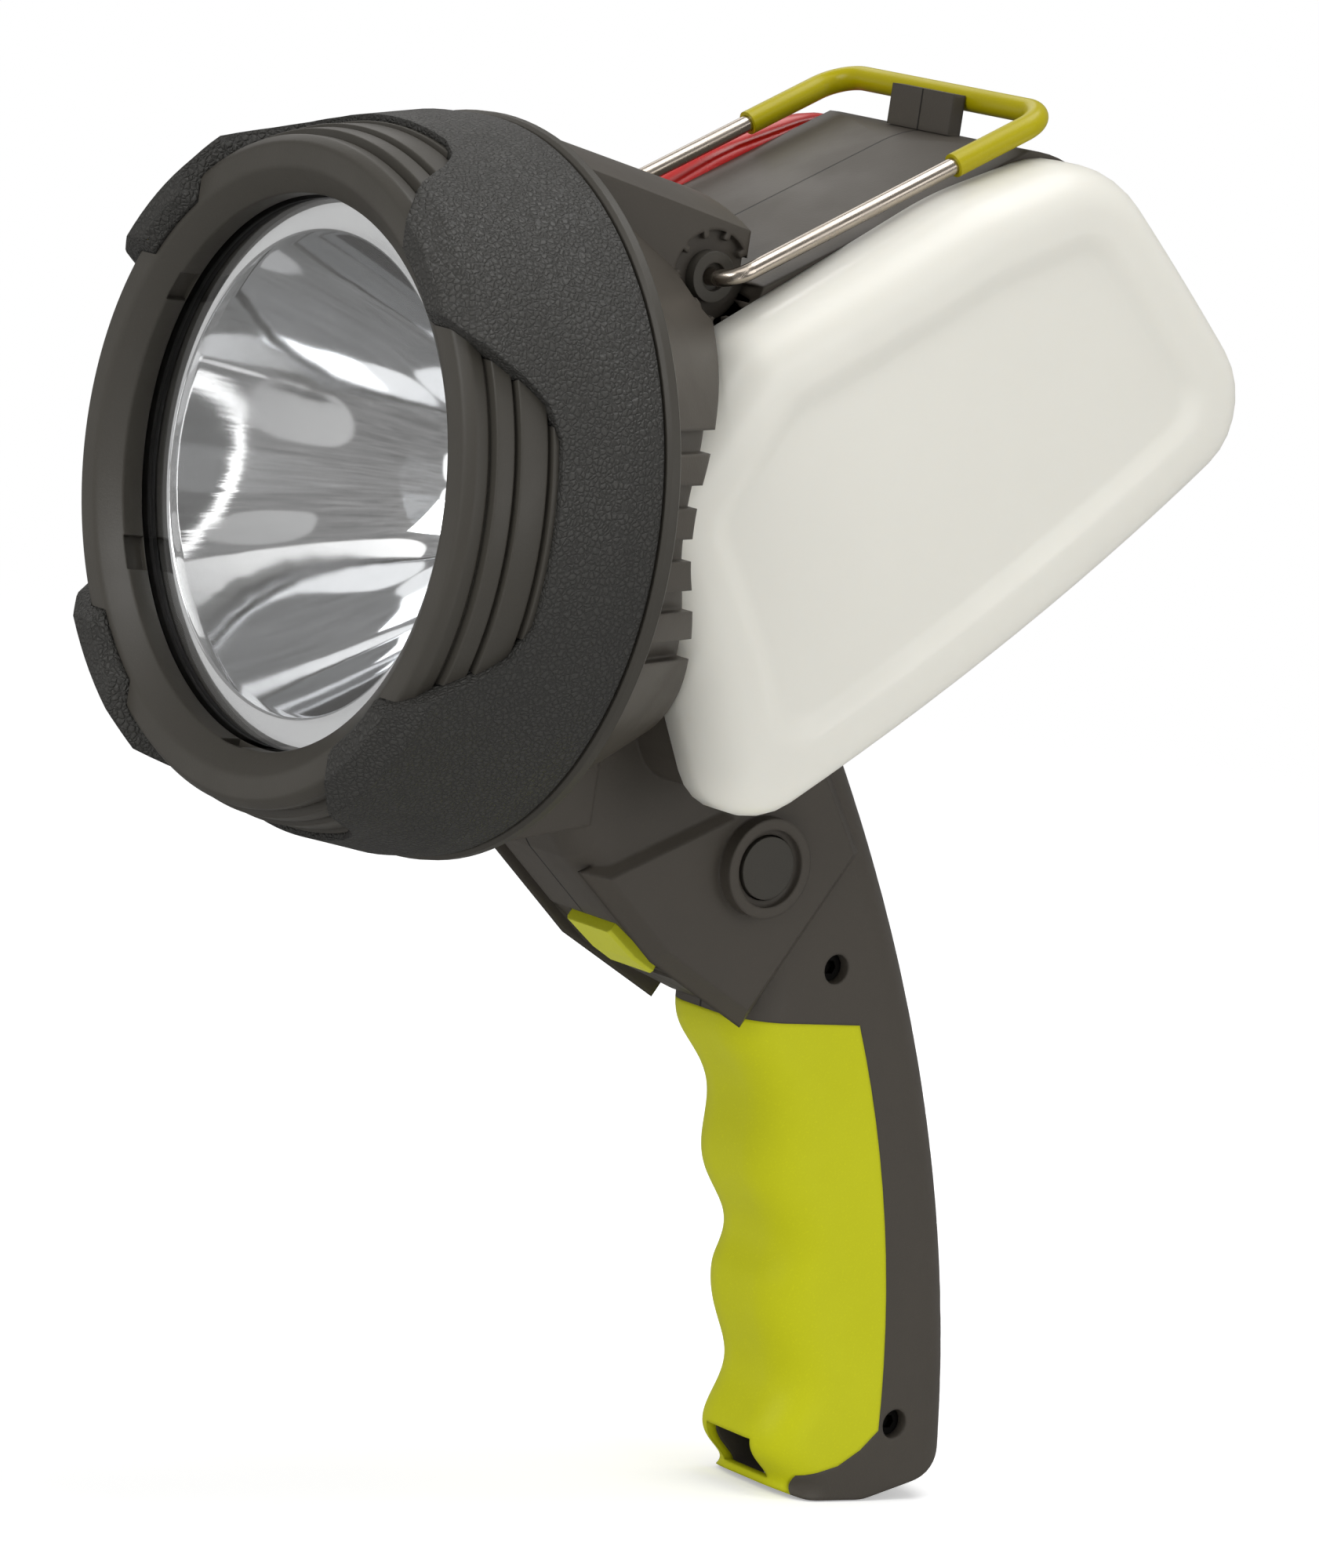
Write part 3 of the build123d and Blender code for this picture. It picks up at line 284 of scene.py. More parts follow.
def makeRoom(look):
    bm = bmesh.new()
    across, up = look["segments"]
    bmesh.ops.create_uvsphere(bm, u_segments=across, v_segments=up, radius=look["radius"])
    bmesh.ops.reverse_faces(bm, faces=bm.faces)
    piece = objectFrom(bm, "room")
    piece.visible_camera = False
    piece.visible_diffuse = False
    piece.visible_shadow = False
    piece.visible_volume_scatter = False
    material, tree = emptyMaterial("room")
    way = vectorNode(tree, "NORMALIZE", objectPlace(tree))
    axes = addNode(tree, "SeparateXYZ", {"Vector": way}).outputs
    degree = 180 / math.pi
    around = mathNode(tree, "MULTIPLY", mathNode(tree, "ARCTAN2", axes["Y"], axes["X"]), degree)
    above = mathNode(tree, "MULTIPLY", mathNode(tree, "ARCSINE", axes["Z"]), degree)

    def swing(stretch, noise, amount):
        # noise about zero, drawn out by stretch
        raw = noiseNode(tree, vectorNode(tree, "MULTIPLY", way, stretch), noise)[0]
        return mathNode(tree, "MULTIPLY", mathNode(tree, "SUBTRACT", raw, 0.5), amount)

    def reach(azimuth, elevation, halfWidth, halfHeight):
        # how far out a direction lies in a rounded patch, which ends where this is 1
        terms = []
        for angle, middle, half in ((around, azimuth, halfWidth), (above, elevation, halfHeight)):
            share = mathNode(tree, "DIVIDE", mathNode(tree, "SUBTRACT", angle, middle), half)
            terms.append(mathNode(tree, "POWER", mathNode(tree, "ABSOLUTE", share), look["roundness"]))
        return mathNode(tree, "ADD", *terms)

    base = rangeNode(tree, above, *look["lowSpan"], look["low"], look["middle"])
    rise = rangeNode(tree, above, *look["highSpan"], 0.0, look["high"] - look["middle"])
    base = mathNode(tree, "ADD", base, rise)
    base = mathNode(tree, "ADD", base, swing(look["cloudStretch"], look["cloudNoise"], look["streaks"]))
    light = mathNode(tree, "MAXIMUM", base, look["least"])
    for *spot, level, soft in look["patches"].values():
        inside = rangeNode(tree, reach(*spot), 1.0, 1.0 + soft, 1.0, 0.0)
        light = mixValue(tree, inside, light, look[level])
    # painted reflection of the dark bezel lip, with a bright ragged rim for its highlights
    torn = swing(look["ragStretch"], look["ragNoise"], look["ragged"])
    torn = mathNode(tree, "ADD", reach(*look["lipReflection"]), torn)
    inside = rangeNode(tree, torn, 1.0, 1.0 + look["lipReflectionSoft"], 1.0, 0.0)
    light = mixValue(tree, inside, light, look["dark"])
    rise = rangeNode(tree, torn, *look["rimRise"])
    fall = rangeNode(tree, torn, *look["rimFall"], 1.0, 0.0)
    light = mixValue(tree, mathNode(tree, "MULTIPLY", rise, fall), light, look["lipHighlightRim"])
    shine = addNode(tree, "Emission", {"Color": look["tint"], "Strength": light})
    addNode(tree, "OutputMaterial", {"Surface": shine.outputs[0]})
    material.cycles.emission_sampling = "NONE"
    piece.data.materials.append(material)


makeRoom(room)
print("camera, floor, lamps and room done")


# Shader groups shared by the materials

def shaderGroup(name, given, outputs):
    tree = bpy.data.node_groups.new(name, "ShaderNodeTree")
    tree.interface.new_socket(given, in_out="INPUT", socket_type="NodeSocketFloat")
    for label, kind in outputs.items():
        tree.interface.new_socket(label, in_out="OUTPUT", socket_type="NodeSocket" + kind)
    return tree, tree.nodes.new("NodeGroupInput").outputs[given], tree.nodes.new("NodeGroupOutput").inputs


def groupNode(tree, group, value):
    node = tree.nodes.new("ShaderNodeGroup")
    node.node_tree = group
    node.inputs[0].default_value = value
    return node.outputs


grainShape = {
    "fineDetail": 2.0,
    "fineRoughness": 0.6,
    "fineShare": 0.6,
    "pitScale": 0.6,
    "pitShare": 0.4,
    "fleckSpan": (0.55, 0.75),
}


def makeMouldedGrain(look):
    tree, size, result = shaderGroup("moulded grain", "Size", {"Height": "Float", "Fleck": "Float"})
    place = objectPlace(tree)
    scale = mathNode(tree, "DIVIDE", 1.0, size)
    values = {"Scale": scale, "Detail": look["fineDetail"], "Roughness": look["fineRoughness"]}
    fine = noiseNode(tree, place, values)[0]
    pits = cellNode(tree, place, mathNode(tree, "MULTIPLY", scale, look["pitScale"]))
    fineHeight = mathNode(tree, "MULTIPLY", fine, look["fineShare"])
    pitHeight = mathNode(tree, "MULTIPLY", pits, look["pitShare"])
    tree.links.new(mathNode(tree, "ADD", fineHeight, pitHeight), result["Height"])
    tree.links.new(rangeNode(tree, fine, *look["fleckSpan"]), result["Fleck"])
    return tree


pebbleShape = {
    "warpScale": 0.8,
    "warpDetail": 1.0,
    "warpReach": 0.9,
    "domeSpan": (0.0, 0.28),
    "cellShare": 0.35,
    # painted shade: the span of the mask that darkens the creases between pebbles
    "creaseShadeSpan": (0.02, 0.16),
}


def makeLeatherPebble(look):
    tree, size, result = shaderGroup("leather pebble", "Size", {"Height": "Float", "Crease Shade": "Float"})
    place = objectPlace(tree)
    scale = mathNode(tree, "DIVIDE", 1.0, size)
    warpScale = mathNode(tree, "MULTIPLY", scale, look["warpScale"])
    warp = noiseNode(tree, place, {"Scale": warpScale, "Detail": look["warpDetail"]})["Color"]
    centred = vectorNode(tree, "SUBTRACT", warp, (0.5, 0.5, 0.5))
    reach = mathNode(tree, "MULTIPLY", size, look["warpReach"])
    push = addNode(tree, "VectorMath", {0: centred, "Scale": reach}, operation="SCALE").outputs[0]
    moved = vectorNode(tree, "ADD", place, push)
    edge = cellNode(tree, moved, scale, "DISTANCE_TO_EDGE")
    dome = rangeNode(tree, edge, *look["domeSpan"])
    dip = mathNode(tree, "MULTIPLY", cellNode(tree, moved, scale), look["cellShare"])
    tree.links.new(mathNode(tree, "SUBTRACT", dome, dip), result["Height"])
    # painted shade mask, 1 in the creases between pebbles
    tree.links.new(rangeNode(tree, edge, *look["creaseShadeSpan"], 1.0, 0.0), result["Crease Shade"])
    return tree


def makeSoftEdge(edgeWearAndHighlightSpan):
    tree, radius, result = shaderGroup("soft edge", "Radius", {"Normal": "Vector", "Edge": "Float"})
    rounded = addNode(tree, "Bevel", {"Radius": radius}, samples=4).outputs[0]
    flat = addNode(tree, "NewGeometry").outputs["Normal"]
    agree = vectorNode(tree, "DOT_PRODUCT", rounded, flat, "Value")
    tree.links.new(rounded, result["Normal"])
    # Edge is 1 along rounded edges, where the colour is lightened for edge wear and a painted edge highlight
    tree.links.new(rangeNode(tree, agree, *edgeWearAndHighlightSpan), result["Edge"])
    return tree


def makeSeamLine(fade):
    tree, halfWidth, result = shaderGroup("seam line", "Half Width", {"Mask": "Float"})
    across = addNode(tree, "SeparateXYZ", {"Vector": objectPlace(tree)}).outputs["X"]
    values = {
        "Value": mathNode(tree, "ABSOLUTE", across),
        "From Min": halfWidth,
        "From Max": mathNode(tree, "MULTIPLY", halfWidth, fade),
        "To Min": 1.0,
        "To Max": 0.0,
    }
    tree.links.new(addNode(tree, "MapRange", values).outputs[0], result["Mask"])
    return tree


smudgeShape = {"detail": 4.0, "roughness": 0.55, "span": (0.3, 0.7)}


def makeHandling(look):
    tree, size, result = shaderGroup("handling", "Size", {"Smudge": "Float"})
    scale = mathNode(tree, "DIVIDE", 1.0, size)
    values = {"Scale": scale, "Detail": look["detail"], "Roughness": look["roughness"]}
    broad = noiseNode(tree, objectPlace(tree), values)[0]
    tree.links.new(rangeNode(tree, broad, *look["span"]), result["Smudge"])
    return tree


mouldedGrain = makeMouldedGrain(grainShape)
leatherPebble = makeLeatherPebble(pebbleShape)
softEdge = makeSoftEdge(edgeWearAndHighlightSpan=(0.97, 0.80))
seamLine = makeSeamLine(fade=1.8)
handling = makeHandling(smudgeShape)
print("shader groups done")


# Materials

def colour(red, green, blue):
    # sRGB from 0 to 255, turned into linear light
    values = [v / 255 for v in (red, green, blue)]
    return tuple(v / 12.92 if v <= 0.04045 else ((v + 0.055) / 1.055) ** 2.4 for v in values) + (1.0,)


def scaled(tone, share):
    return tuple(v * share for v in tone[:3]) + (1.0,)


def tint(tree, tone, mask, share, other):
    return mixColour(tree, mathNode(tree, "MULTIPLY", mask, share), tone, other)


def closeMaterial(material, tree, values):
    shader = addNode(tree, "BsdfPrincipled", values)
    addNode(tree, "OutputMaterial", {"Surface": shader.outputs[0]})
    return material


plasticUsual = {
    "specular": 0.4,
    "coat": 0.0,
    "coatRoughness": 0.2,
    "edgeRadius": 0.0005,
    "grainSize": 0.00035,
    "grainBump": 0.25,
    "grainDepth": 0.0001,
    "smudgeSize": 0.03,
    "toneShare": 0.5,
    "toneDrop": 0.86,
    "fleckShare": 0.3,
    "fleckRise": 1.25,
    # painted shade in the pebble creases
    "creaseShadeShare": 0.5,
    "creaseShadeDrop": 0.45,
    # lighter along edges: edge wear and painted edge highlight
    "edgeWearAndHighlightShare": 0.25,
    "edgeWearAndHighlightRise": 1.6,
    "seamDrop": 0.12,
}
plasticLooks = {
    "charcoalPlastic": {
        "colour": colour(74, 69, 62), "roughness": (0.42, 0.52), "specular": 0.35, "edgeRadius": 0.0010,
        "edgeWearAndHighlightShare": 0.15, "seam": 0.00016,
    },
    "bezelPlastic": {
        "colour": colour(66, 63, 57), "roughness": (0.40, 0.50), "specular": 0.35, "edgeRadius": 0.0004,
    },
    "pebbledRubber": {
        "colour": colour(58, 57, 54), "roughness": (0.5, 0.62), "edgeRadius": 0.0011, "edgeWearAndHighlightShare": 0.12,
        "pebbleSize": 0.0011, "pebbleBump": 0.75, "pebbleDepth": 0.0003,
    },
    "limeGrip": {
        "colour": colour(198, 200, 6), "roughness": (0.50, 0.60), "specular": 0.25, "edgeRadius": 0.0014,
        "toneDrop": 0.92, "edgeWearAndHighlightShare": 0.1, "grainSize": 0.00045,
    },
    "limePlastic": {
        "colour": colour(200, 202, 34), "roughness": (0.45, 0.55), "toneDrop": 0.92, "edgeWearAndHighlightShare": 0.1,
        "grainBump": 0.45,
    },
    "oliveSleeve": {
        "colour": colour(178, 166, 0), "roughness": (0.28, 0.38), "specular": 0.3, "edgeRadius": 0.0003,
        "toneDrop": 0.9, "edgeWearAndHighlightShare": 0.0,
    },
    "milkyPlastic": {
        "colour": colour(236, 233, 222), "roughness": (0.30, 0.38), "specular": 0.45, "edgeRadius": 0.0008,
        "toneDrop": 0.97, "fleckShare": 0.0, "edgeWearAndHighlightShare": 0.0, "grainBump": 0.05,
        "subsurface": 0.35, "scatter": (1.0, 0.9, 0.8), "scatterScale": 0.006,
    },
    "redPlastic": {
        "colour": colour(196, 24, 20), "roughness": (0.22, 0.30), "specular": 0.5, "edgeRadius": 0.0008,
        "toneDrop": 0.9, "fleckShare": 0.0, "edgeWearAndHighlightShare": 0.0, "grainBump": 0.05,
        "subsurface": 0.25, "scatter": (1.0, 0.15, 0.1), "scatterScale": 0.004,
    },
    "sealRubber": {"colour": colour(30, 30, 30), "roughness": (0.6, 0.7), "specular": 0.3},
    "lightSource": {
        "colour": colour(232, 205, 90), "roughness": (0.25, 0.35), "coat": 0.6, "fleckShare": 0.6,
        "grainSize": 0.0002,
    },
    "boardLacquer": {
        "colour": colour(222, 224, 220), "roughness": (0.3, 0.4), "coat": 0.3, "edgeRadius": 0.0002,
    },
    "greenBoard": {"colour": colour(28, 82, 44), "roughness": (0.3, 0.4), "coat": 0.4, "edgeRadius": 0.0002},
    "blackPlastic": {"colour": colour(38, 37, 35), "roughness": (0.38, 0.48), "edgeRadius": 0.0004},
    "cellWrap": {"colour": colour(54, 96, 150), "roughness": (0.25, 0.35), "coat": 0.4, "edgeRadius": 0.0006},
}


def plasticMaterial(name, changes):
    look = {**plasticUsual, **changes}
    material, tree = emptyMaterial(name)
    base = look["colour"]
    grain = groupNode(tree, mouldedGrain, look["grainSize"])
    marks = groupNode(tree, handling, look["smudgeSize"])
    edge = groupNode(tree, softEdge, look["edgeRadius"])
    tone = tint(tree, base, marks["Smudge"], look["toneShare"], scaled(base, look["toneDrop"]))
    tone = tint(tree, tone, grain["Fleck"], look["fleckShare"], scaled(base, look["fleckRise"]))
    normal = edge["Normal"]
    if "pebbleSize" in look:
        pebble = groupNode(tree, leatherPebble, look["pebbleSize"])
        # painted shade: darker in the creases between pebbles
        tone = tint(tree, tone, pebble["Crease Shade"], look["creaseShadeShare"], scaled(base, look["creaseShadeDrop"]))
        normal = bumpNode(tree, pebble["Height"], look["pebbleBump"], look["pebbleDepth"], normal)
    # lighter along edges: edge wear and painted edge highlight
    tone = tint(tree, tone, edge["Edge"], look["edgeWearAndHighlightShare"], scaled(base, look["edgeWearAndHighlightRise"]))
    if "seam" in look:
        seam = groupNode(tree, seamLine, look["seam"])["Mask"]
        tone = mixColour(tree, seam, tone, scaled(base, look["seamDrop"]))
    values = {
        "Base Color": tone,
        "Roughness": rangeNode(tree, marks["Smudge"], 0, 1, *look["roughness"]),
        "Normal": bumpNode(tree, grain["Height"], look["grainBump"], look["grainDepth"], normal),
        "Specular IOR Level": look["specular"],
        "Coat Weight": look["coat"],
        "Coat Roughness": look["coatRoughness"],
    }
    if "subsurface" in look:
        values["Subsurface Weight"] = look["subsurface"]
        values["Subsurface Radius"] = look["scatter"]
        values["Subsurface Scale"] = look["scatterScale"]
    return closeMaterial(material, tree, values)


metalUsual = {
    "grainSize": 0.0002,
    "grainBump": 0.15,
    "grainDepth": 0.00003,
    "smudgeSize": 0.01,
    "toneShare": 0.5,
    "toneDrop": 0.8,
}
metalLooks = {
    "satinWire": {"colour": colour(186, 176, 164), "roughness": (0.2, 0.3)},
    "bareAluminium": {"colour": colour(205, 206, 208), "roughness": (0.30, 0.45)},
    "darkSteel": {"colour": colour(88, 88, 90), "roughness": (0.35, 0.5)},
    # painted shade: near-black screws stand in for the shade in their deep holes
    "holeShadeSteel": {"colour": colour(34, 33, 32), "roughness": (0.45, 0.6)},
}


def metalMaterial(name, changes):
    look = {**metalUsual, **changes}
    material, tree = emptyMaterial(name)
    base = look["colour"]
    grain = groupNode(tree, mouldedGrain, look["grainSize"])
    marks = groupNode(tree, handling, look["smudgeSize"])
    return closeMaterial(material, tree, {
        "Base Color": tint(tree, base, marks["Smudge"], look["toneShare"], scaled(base, look["toneDrop"])),
        "Roughness": rangeNode(tree, marks["Smudge"], 0, 1, *look["roughness"]),
        "Normal": bumpNode(tree, grain["Height"], look["grainBump"], look["grainDepth"]),
        "Metallic": 1.0,
    })


mirrorLook = {
    "tones": (colour(236, 237, 238), colour(216, 218, 221)),
    "ripple": {"Scale": 120.0, "Detail": 1.0},
    "rippleBump": 0.12,
    "rippleDepth": 0.0002,
    "haze": {"Scale": 45.0, "Detail": 3.0},
    "hazeSpan": (0.3, 0.7),
    "roughness": (0.03, 0.08),
}


def makeMirror(name, look):
    material, tree = emptyMaterial(name)
    place = objectPlace(tree)
    ripple = noiseNode(tree, place, look["ripple"])[0]
    haze = noiseNode(tree, place, look["haze"])[0]
    return closeMaterial(material, tree, {
        "Base Color": mixColour(tree, haze, *look["tones"]),
        "Roughness": rangeNode(tree, haze, *look["hazeSpan"], *look["roughness"]),
        "Normal": bumpNode(tree, ripple, look["rippleBump"], look["rippleDepth"]),
        "Metallic": 1.0,
    })


glassLook = {
    "tones": ((1, 1, 1, 1), (0.97, 0.98, 0.98, 1)),
    "smear": {"Scale": 60.0, "Detail": 3.0},
    "smearSpan": (0.45, 0.8),
    "roughness": (0.0, 0.03),
    "index": 1.49,
}


def makeLensGlass(name, look):
    material, tree = emptyMaterial(name)
    smear = noiseNode(tree, objectPlace(tree), look["smear"])[0]
    return closeMaterial(material, tree, {
        "Base Color": mixColour(tree, smear, *look["tones"]),
        "Roughness": rangeNode(tree, smear, *look["smearSpan"], *look["roughness"]),
        "Transmission Weight": 1.0,
        "IOR": look["index"],
    })


finishes = {name: plasticMaterial(name, look) for name, look in plasticLooks.items()}
finishes.update({name: metalMaterial(name, look) for name, look in metalLooks.items()})
finishes["brightReflector"] = makeMirror("brightReflector", mirrorLook)
finishes["clearLens"] = makeLensGlass("clearLens", glassLook)
print("materials done:", len(finishes))


# Helpers for new pieces

weldDistance = 0.000001


def finishPiece(bm, name, finish, body="light", replaced=(), crease=32):
    bmesh.ops.remove_doubles(bm, verts=bm.verts, dist=weldDistance)
    bmesh.ops.recalc_face_normals(bm, faces=bm.faces)
    for face in bm.faces:
        face.smooth = True
    for edge in bm.edges:
        if len(edge.link_faces) == 2 and edge.calc_face_angle() > math.radians(crease):
            edge.smooth = False
    piece = objectFrom(bm, name)
    piece.data.materials.append(finishes[finish])
    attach(piece, body)
    if replaced:
        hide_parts(*replaced)
    return piece


def spinProfile(points, steps):
    # points are (radius, y, rounding), in millimetres
    bm = bmesh.new()
    corners = [bm.verts.new((p[0] * mm, p[1] * mm, 0)) for p in points]
    bm.faces.new(corners)
    for rounding in sorted(set(p[2] for p in points) - {0}):
        chosen = [v for v, p in zip(corners, points) if p[2] == rounding]
        bmesh.ops.bevel(
            bm, geom=chosen, offset=rounding * mm, affect="VERTICES", segments=3, profile=0.5, material=-1)
    bmesh.ops.delete(bm, geom=bm.faces[:], context="FACES_ONLY")
    bmesh.ops.spin(
        bm, geom=bm.verts[:] + bm.edges[:], cent=(0, 0, 0), axis=(0, 1, 0), dvec=(0, 0, 0),
        angle=2 * math.pi, steps=steps, use_merge=True)
    return bm


# Bezel ring: stepped outside, bevelled lip, and notches in its bore wall

bezel = {
    "profile": [
        (51.8, 0.0, 0.35), (56.5, -3.5, 0.8), (61.0, -3.5, 0.6), (62.6, -1.5, 0.4), (62.6, 1.0, 0.2),
        (61.6, 2.0, 0.2), (64.0, 2.0, 0.3), (64.5, 5.5, 0.2), (63.0, 6.5, 0.2), (65.3, 6.5, 0.3),
        (65.8, 12.0, 0.2), (64.3, 13.0, 0.2), (66.4, 13.0, 0.3), (66.4, 36.0, 0), (63.8, 36.0, 0),
        (63.8, 15.6, 0), (53.4, 11.0, 0), (53.4, 4.4, 0), (51.8, 4.4, 0.2),
    ],
    "steps": 192,
    "wallRadius": 52.4,
    "wallFront": -0.05,
    "wallBack": 4.3,
    "notchCount": 6,
    "notchStart": math.degrees(math.atan2(1, 2)),
    "notchHalfAngle": 3.9,
    "notchDepth": 1.4,
}


def makeBezel(look):
    bm = spinProfile(look["profile"], look["steps"])
    pitch = 360 / look["notchCount"]
    walls = []
    for face in bm.faces:
        middle = face.calc_center_median()
        onWall = look["wallFront"] * mm < middle.y < look["wallBack"] * mm
        if onWall and math.hypot(middle.x, middle.z) < look["wallRadius"] * mm:
            angle = math.degrees(math.atan2(middle.z, middle.x)) - look["notchStart"]
            if abs((angle + pitch / 2) % pitch - pitch / 2) < look["notchHalfAngle"]:
                walls.append(face)
    made = bmesh.ops.extrude_face_region(bm, geom=walls)
    bmesh.ops.delete(bm, geom=walls, context="FACES")
    for item in made["geom"]:
        if isinstance(item, bmesh.types.BMVert):
            out = Vector((item.co.x, 0, item.co.z)).normalized()
            item.co += out * look["notchDepth"] * mm
    finishPiece(bm, "bezelRing", "bezelPlastic", replaced=["bezel_ring"])


makeBezel(bezel)


# Reflector: a deep bowl with a rounded rim and a flat flange

bowl = {
    "rimRadius": 45.4,
    "rimY": 7.0,
    "rimRounding": 0.5,
    "depth": 52.0,
    "holeRadius": 8.0,
    "wall": 1.2,
    "flangeRadius": 53.1,
    "flange": 1.5,
    "flangeRounding": 0.2,
    "rings": 44,
    "steps": 160,
}


def makeReflector(look):
    rim, front, wall = look["rimRadius"], look["rimY"], look["wall"]
    inside = [(rim, front, look["rimRounding"])]
    for step in range(1, look["rings"] + 1):
        radius = rim + (look["holeRadius"] - rim) * step / look["rings"]
        inside.append((radius, front + look["depth"] * (1 - (radius / rim) ** 2), 0))
    back = front + look["flange"]
    outside = [(p[0] + wall, p[1] + wall, 0) for p in reversed(inside) if p[1] + wall > back]
    edge, rounding = look["flangeRadius"], look["flangeRounding"]
    flange = [(rim + wall, back, 0), (edge, back, rounding), (edge, front, rounding)]
    bm = spinProfile(inside + outside + flange, look["steps"])
    finishPiece(bm, "reflectorBowl", "brightReflector", replaced=["reflector"])


makeReflector(bowl)


# Front lens: a clear disc with rounded edges and flat faces

lens = {
    "profile": [(0, 4.4, 0), (53.2, 4.4, 0.3), (53.2, 6.2, 0.3), (0, 6.2, 0)],
    "steps": 160,
    "flatLimit": 0.99,
}


def makeLens(look):
    bm = spinProfile(look["profile"], look["steps"])
    piece = finishPiece(bm, "frontLens", "clearLens", replaced=["front_lens"])
    for face in piece.data.polygons:
        face.use_smooth = abs(face.normal.y) < look["flatLimit"]


makeLens(lens)
print("bezel, reflector and lens done")


# Side covers: a domed pillow over each light board, with a soft sunk panel

cover = {
    # corners are (y, z, radius), in millimetres
    "corners": [
        (50.0, 1.5, 16.0), (69.5, -29.0, 14.0), (86.0, -61.0, 13.0), (204.0, 31.4, 16.0),
        (150.6, 79.6, 24.0), (118.0, 66.3, 80.0), (69.0, 36.0, 14.0),
    ],
    "cornerLeast": 7.0,
    "sidePoints": 14,
    "arcPoints": 8,
    "baseX": 31.0,
    "crownX": 52.0,
    "domeRadius": 420.0,
    "centre": (124.0, 13.0),
    "edgeRun": 8.0,
    "edgeDrop": 8.5,
    "edgeStep": 9,
    "panelMargin": 11.5,
    "panelBlend": 5.5,
    "panelDepth": 1.8,
    "blendSteps": 8,
    "floorRun": 3.0,
    "fillShares": (0.82, 0.64, 0.46, 0.28, 0.12, 0.0),
    "crease": 60,
    "wall": 2.4,
}


def outlineRing(look, inset):
    # one ring of the outline, moved in by inset, as (y, z) in millimetres
    corners = look["corners"]
    count = len(corners)
    sides = []
    for index in range(count):
        a, b = Vector(corners[index][:2]), Vector(corners[(index + 1) % count][:2])
        along = (b - a).normalized()
        inward = Vector((-along.y, along.x))
        sides.append((a + inward * inset, along, inward))
    arcs = []
    for index in range(count):
        p, u, n = sides[index - 1]
        q, v, m = sides[index]
        cross = u.x * v.y - u.y * v.x
        if cross < 0:
            bulge, radius = -1, corners[index][2] + inset
        else:
            bulge, radius = 1, max(corners[index][2] - inset, look["cornerLeast"])
        start, end = p + n * radius * bulge, q + m * radius * bulge
        gap = end - start
        centre = start + u * ((gap.x * v.y - gap.y * v.x) / cross)
        arcs.append((centre, radius, -n * bulge, -m * bulge))
    ring = []
    for index in range(count):
        centre, radius, fromWay, toWay = arcs[index]
        angle = fromWay.angle_signed(toWay)
        for step in range(look["arcPoints"]):
            turn = -angle * step / (look["arcPoints"] - 1)
            sine, cosine = math.sin(turn), math.cos(turn)
            way = Vector((fromWay.x * cosine - fromWay.y * sine, fromWay.x * sine + fromWay.y * cosine))
            ring.append(centre + way * radius)
        nextCentre, nextRadius, nextWay = arcs[(index + 1) % count][:3]
        a, b = centre + toWay * radius, nextCentre + nextWay * nextRadius
        for step in range(1, look["sidePoints"]):
            ring.append(a.lerp(b, step / look["sidePoints"]))
    return ring


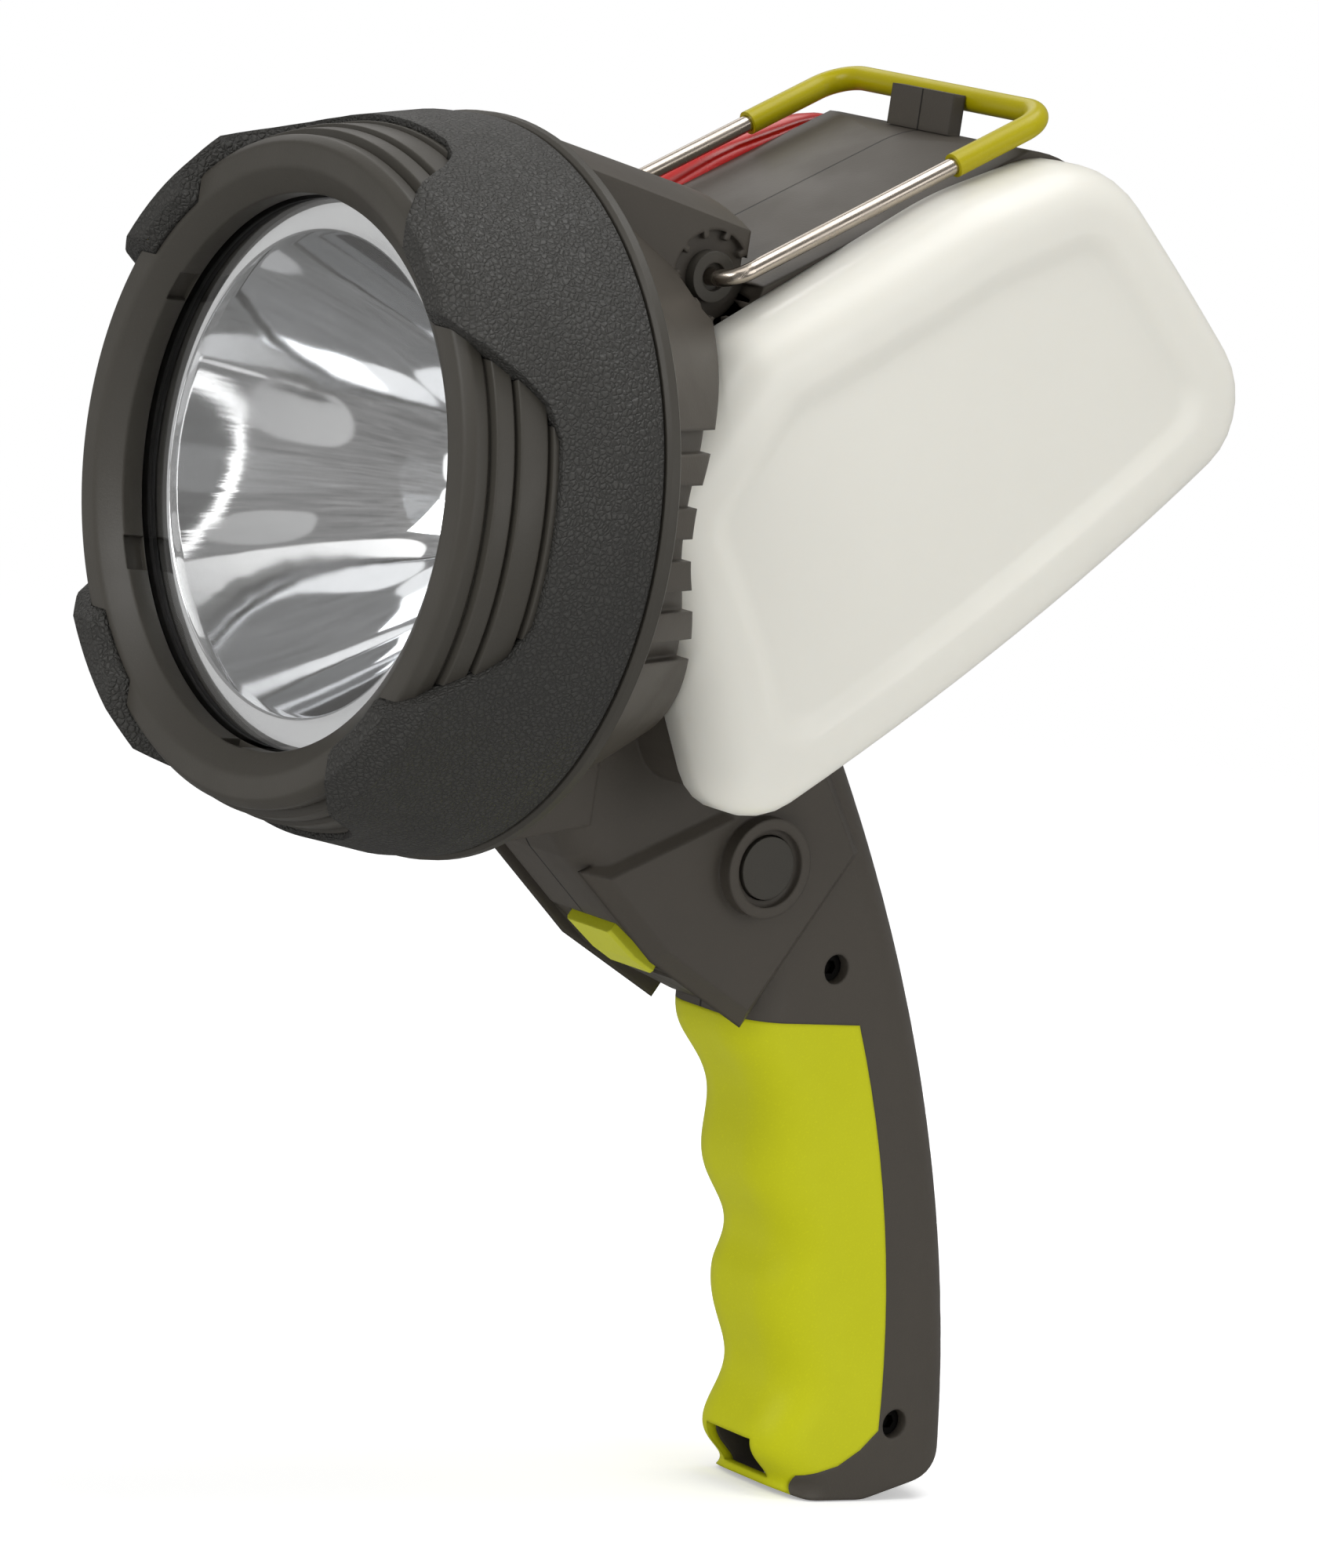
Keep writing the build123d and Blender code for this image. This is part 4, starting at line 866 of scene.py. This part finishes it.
def makeCover(look, side, name, finish, replaced):
    def height(point, inset):
        away = (Vector(point) - Vector(look["centre"])).length
        dome = look["crownX"] - look["domeRadius"] + math.sqrt(look["domeRadius"] ** 2 - away ** 2)
        run = max(0.0, 1 - inset / look["edgeRun"])
        drop = look["edgeDrop"] * (1 - math.sqrt(max(0.0, 1 - run ** 2)))
        share = min(1.0, max(0.0, (inset - look["panelMargin"]) / look["panelBlend"]))
        sunk = look["panelDepth"] * share * share * (3 - 2 * share)
        return dome - drop - sunk

    def ringPlaces(inset, fixedX=None):
        places = []
        for p in outlineRing(look, inset):
            x = height(p, inset) if fixedX is None else fixedX
            places.append((side * x * mm, p.x * mm, p.y * mm))
        return places

    bm = bmesh.new()
    ring = [bm.verts.new(co) for co in ringPlaces(0, look["baseX"])]
    edges = [bm.edges.new((ring[i - 1], ring[i])) for i in range(len(ring))]

    def nextRing(edges, ring, places):
        # edges extruded from one ring to the next, whose vertices keep the first ring's order
        made = bmesh.ops.extrude_edge_only(bm, edges=edges)["geom"]
        number = {v: i for i, v in enumerate(ring)}
        partner = {}
        for v in made:
            if isinstance(v, bmesh.types.BMVert):
                for edge in v.link_edges:
                    other = edge.other_vert(v)
                    if other in number:
                        partner[number[other]] = v
        fresh = [partner[i] for i in range(len(places))]
        for v, co in zip(fresh, places):
            v.co = co
        return [bm.edges.get((fresh[i - 1], fresh[i])) for i in range(len(fresh))], fresh

    run, margin, steps = look["edgeRun"], look["panelMargin"], look["blendSteps"]
    insets = [run * (1 - math.cos(math.radians(a))) for a in range(0, 91, look["edgeStep"])]
    insets += [run + (margin - run) * share for share in (0.5, 1.0)]
    insets += [margin + look["panelBlend"] * step / steps for step in range(1, steps + 1)]
    last = insets[-1] + look["floorRun"]
    for inset in insets + [last]:
        edges, ring = nextRing(edges, ring, ringPlaces(inset))
    middle = sum((v.co for v in ring), Vector()) / len(ring)
    outer = [v.co.copy() for v in ring]
    for share in look["fillShares"]:
        places = []
        for co in outer:
            y, z = middle.y + (co.y - middle.y) * share, middle.z + (co.z - middle.z) * share
            places.append((side * height((y / mm, z / mm), last) * mm, y, z))
        edges, ring = nextRing(edges, ring, places)
    piece = finishPiece(bm, name, finish, replaced=[replaced], crease=look["crease"])
    if sum((p.normal.x * side) * p.area for p in piece.data.polygons) < 0:
        piece.data.flip_normals()
    wall = piece.modifiers.new("wall", "SOLIDIFY")
    wall.thickness = look["wall"] * mm
    wall.offset = -1


makeCover(cover, 1, "workLightCover", "milkyPlastic", "white_diffuser")
makeCover(cover, -1, "hazardLightCover", "redPlastic", "red_diffuser")
print("side covers done")


# Finishes of the CAD nodes that stay as they are

nodeFinishes = {
    "charcoalPlastic": ["housing_left", "housing_right"],
    "bezelPlastic": ["rear_ring", "ratchet_bushes", "mode_button"],
    "pebbledRubber": ["rubber_bumper"],
    "limeGrip": ["soft_grip"],
    "limePlastic": ["trigger"],
    "satinWire": ["bail_wire"],
    "oliveSleeve": ["bail_sleeve"],
    "sealRubber": ["lens_seal", "socket_flap"],
    "lightSource": ["led_emitter", "work_light_leds", "hazard_leds"],
    "boardLacquer": ["work_light_board", "hazard_light_board"],
    "greenBoard": ["control_board"],
    "bareAluminium": ["led_board", "heat_sink"],
    "blackPlastic": ["mode_switch", "trigger_switch", "battery_holder", "charge_socket"],
    "cellWrap": ["battery_cells"],
    "darkSteel": ["trigger_pin", "trigger_spring"],
    # painted shade: the screws are near black to stand in for the shade in their holes
    "holeShadeSteel": ["housing_screws"],
}
for finish, members in nodeFinishes.items():
    for member in members:
        node = nodes[member]
        if not node.material_slots:
            node.data.materials.append(finishes[finish])
        for place in node.material_slots:
            place.material = finishes[finish]
print("CAD nodes finished")
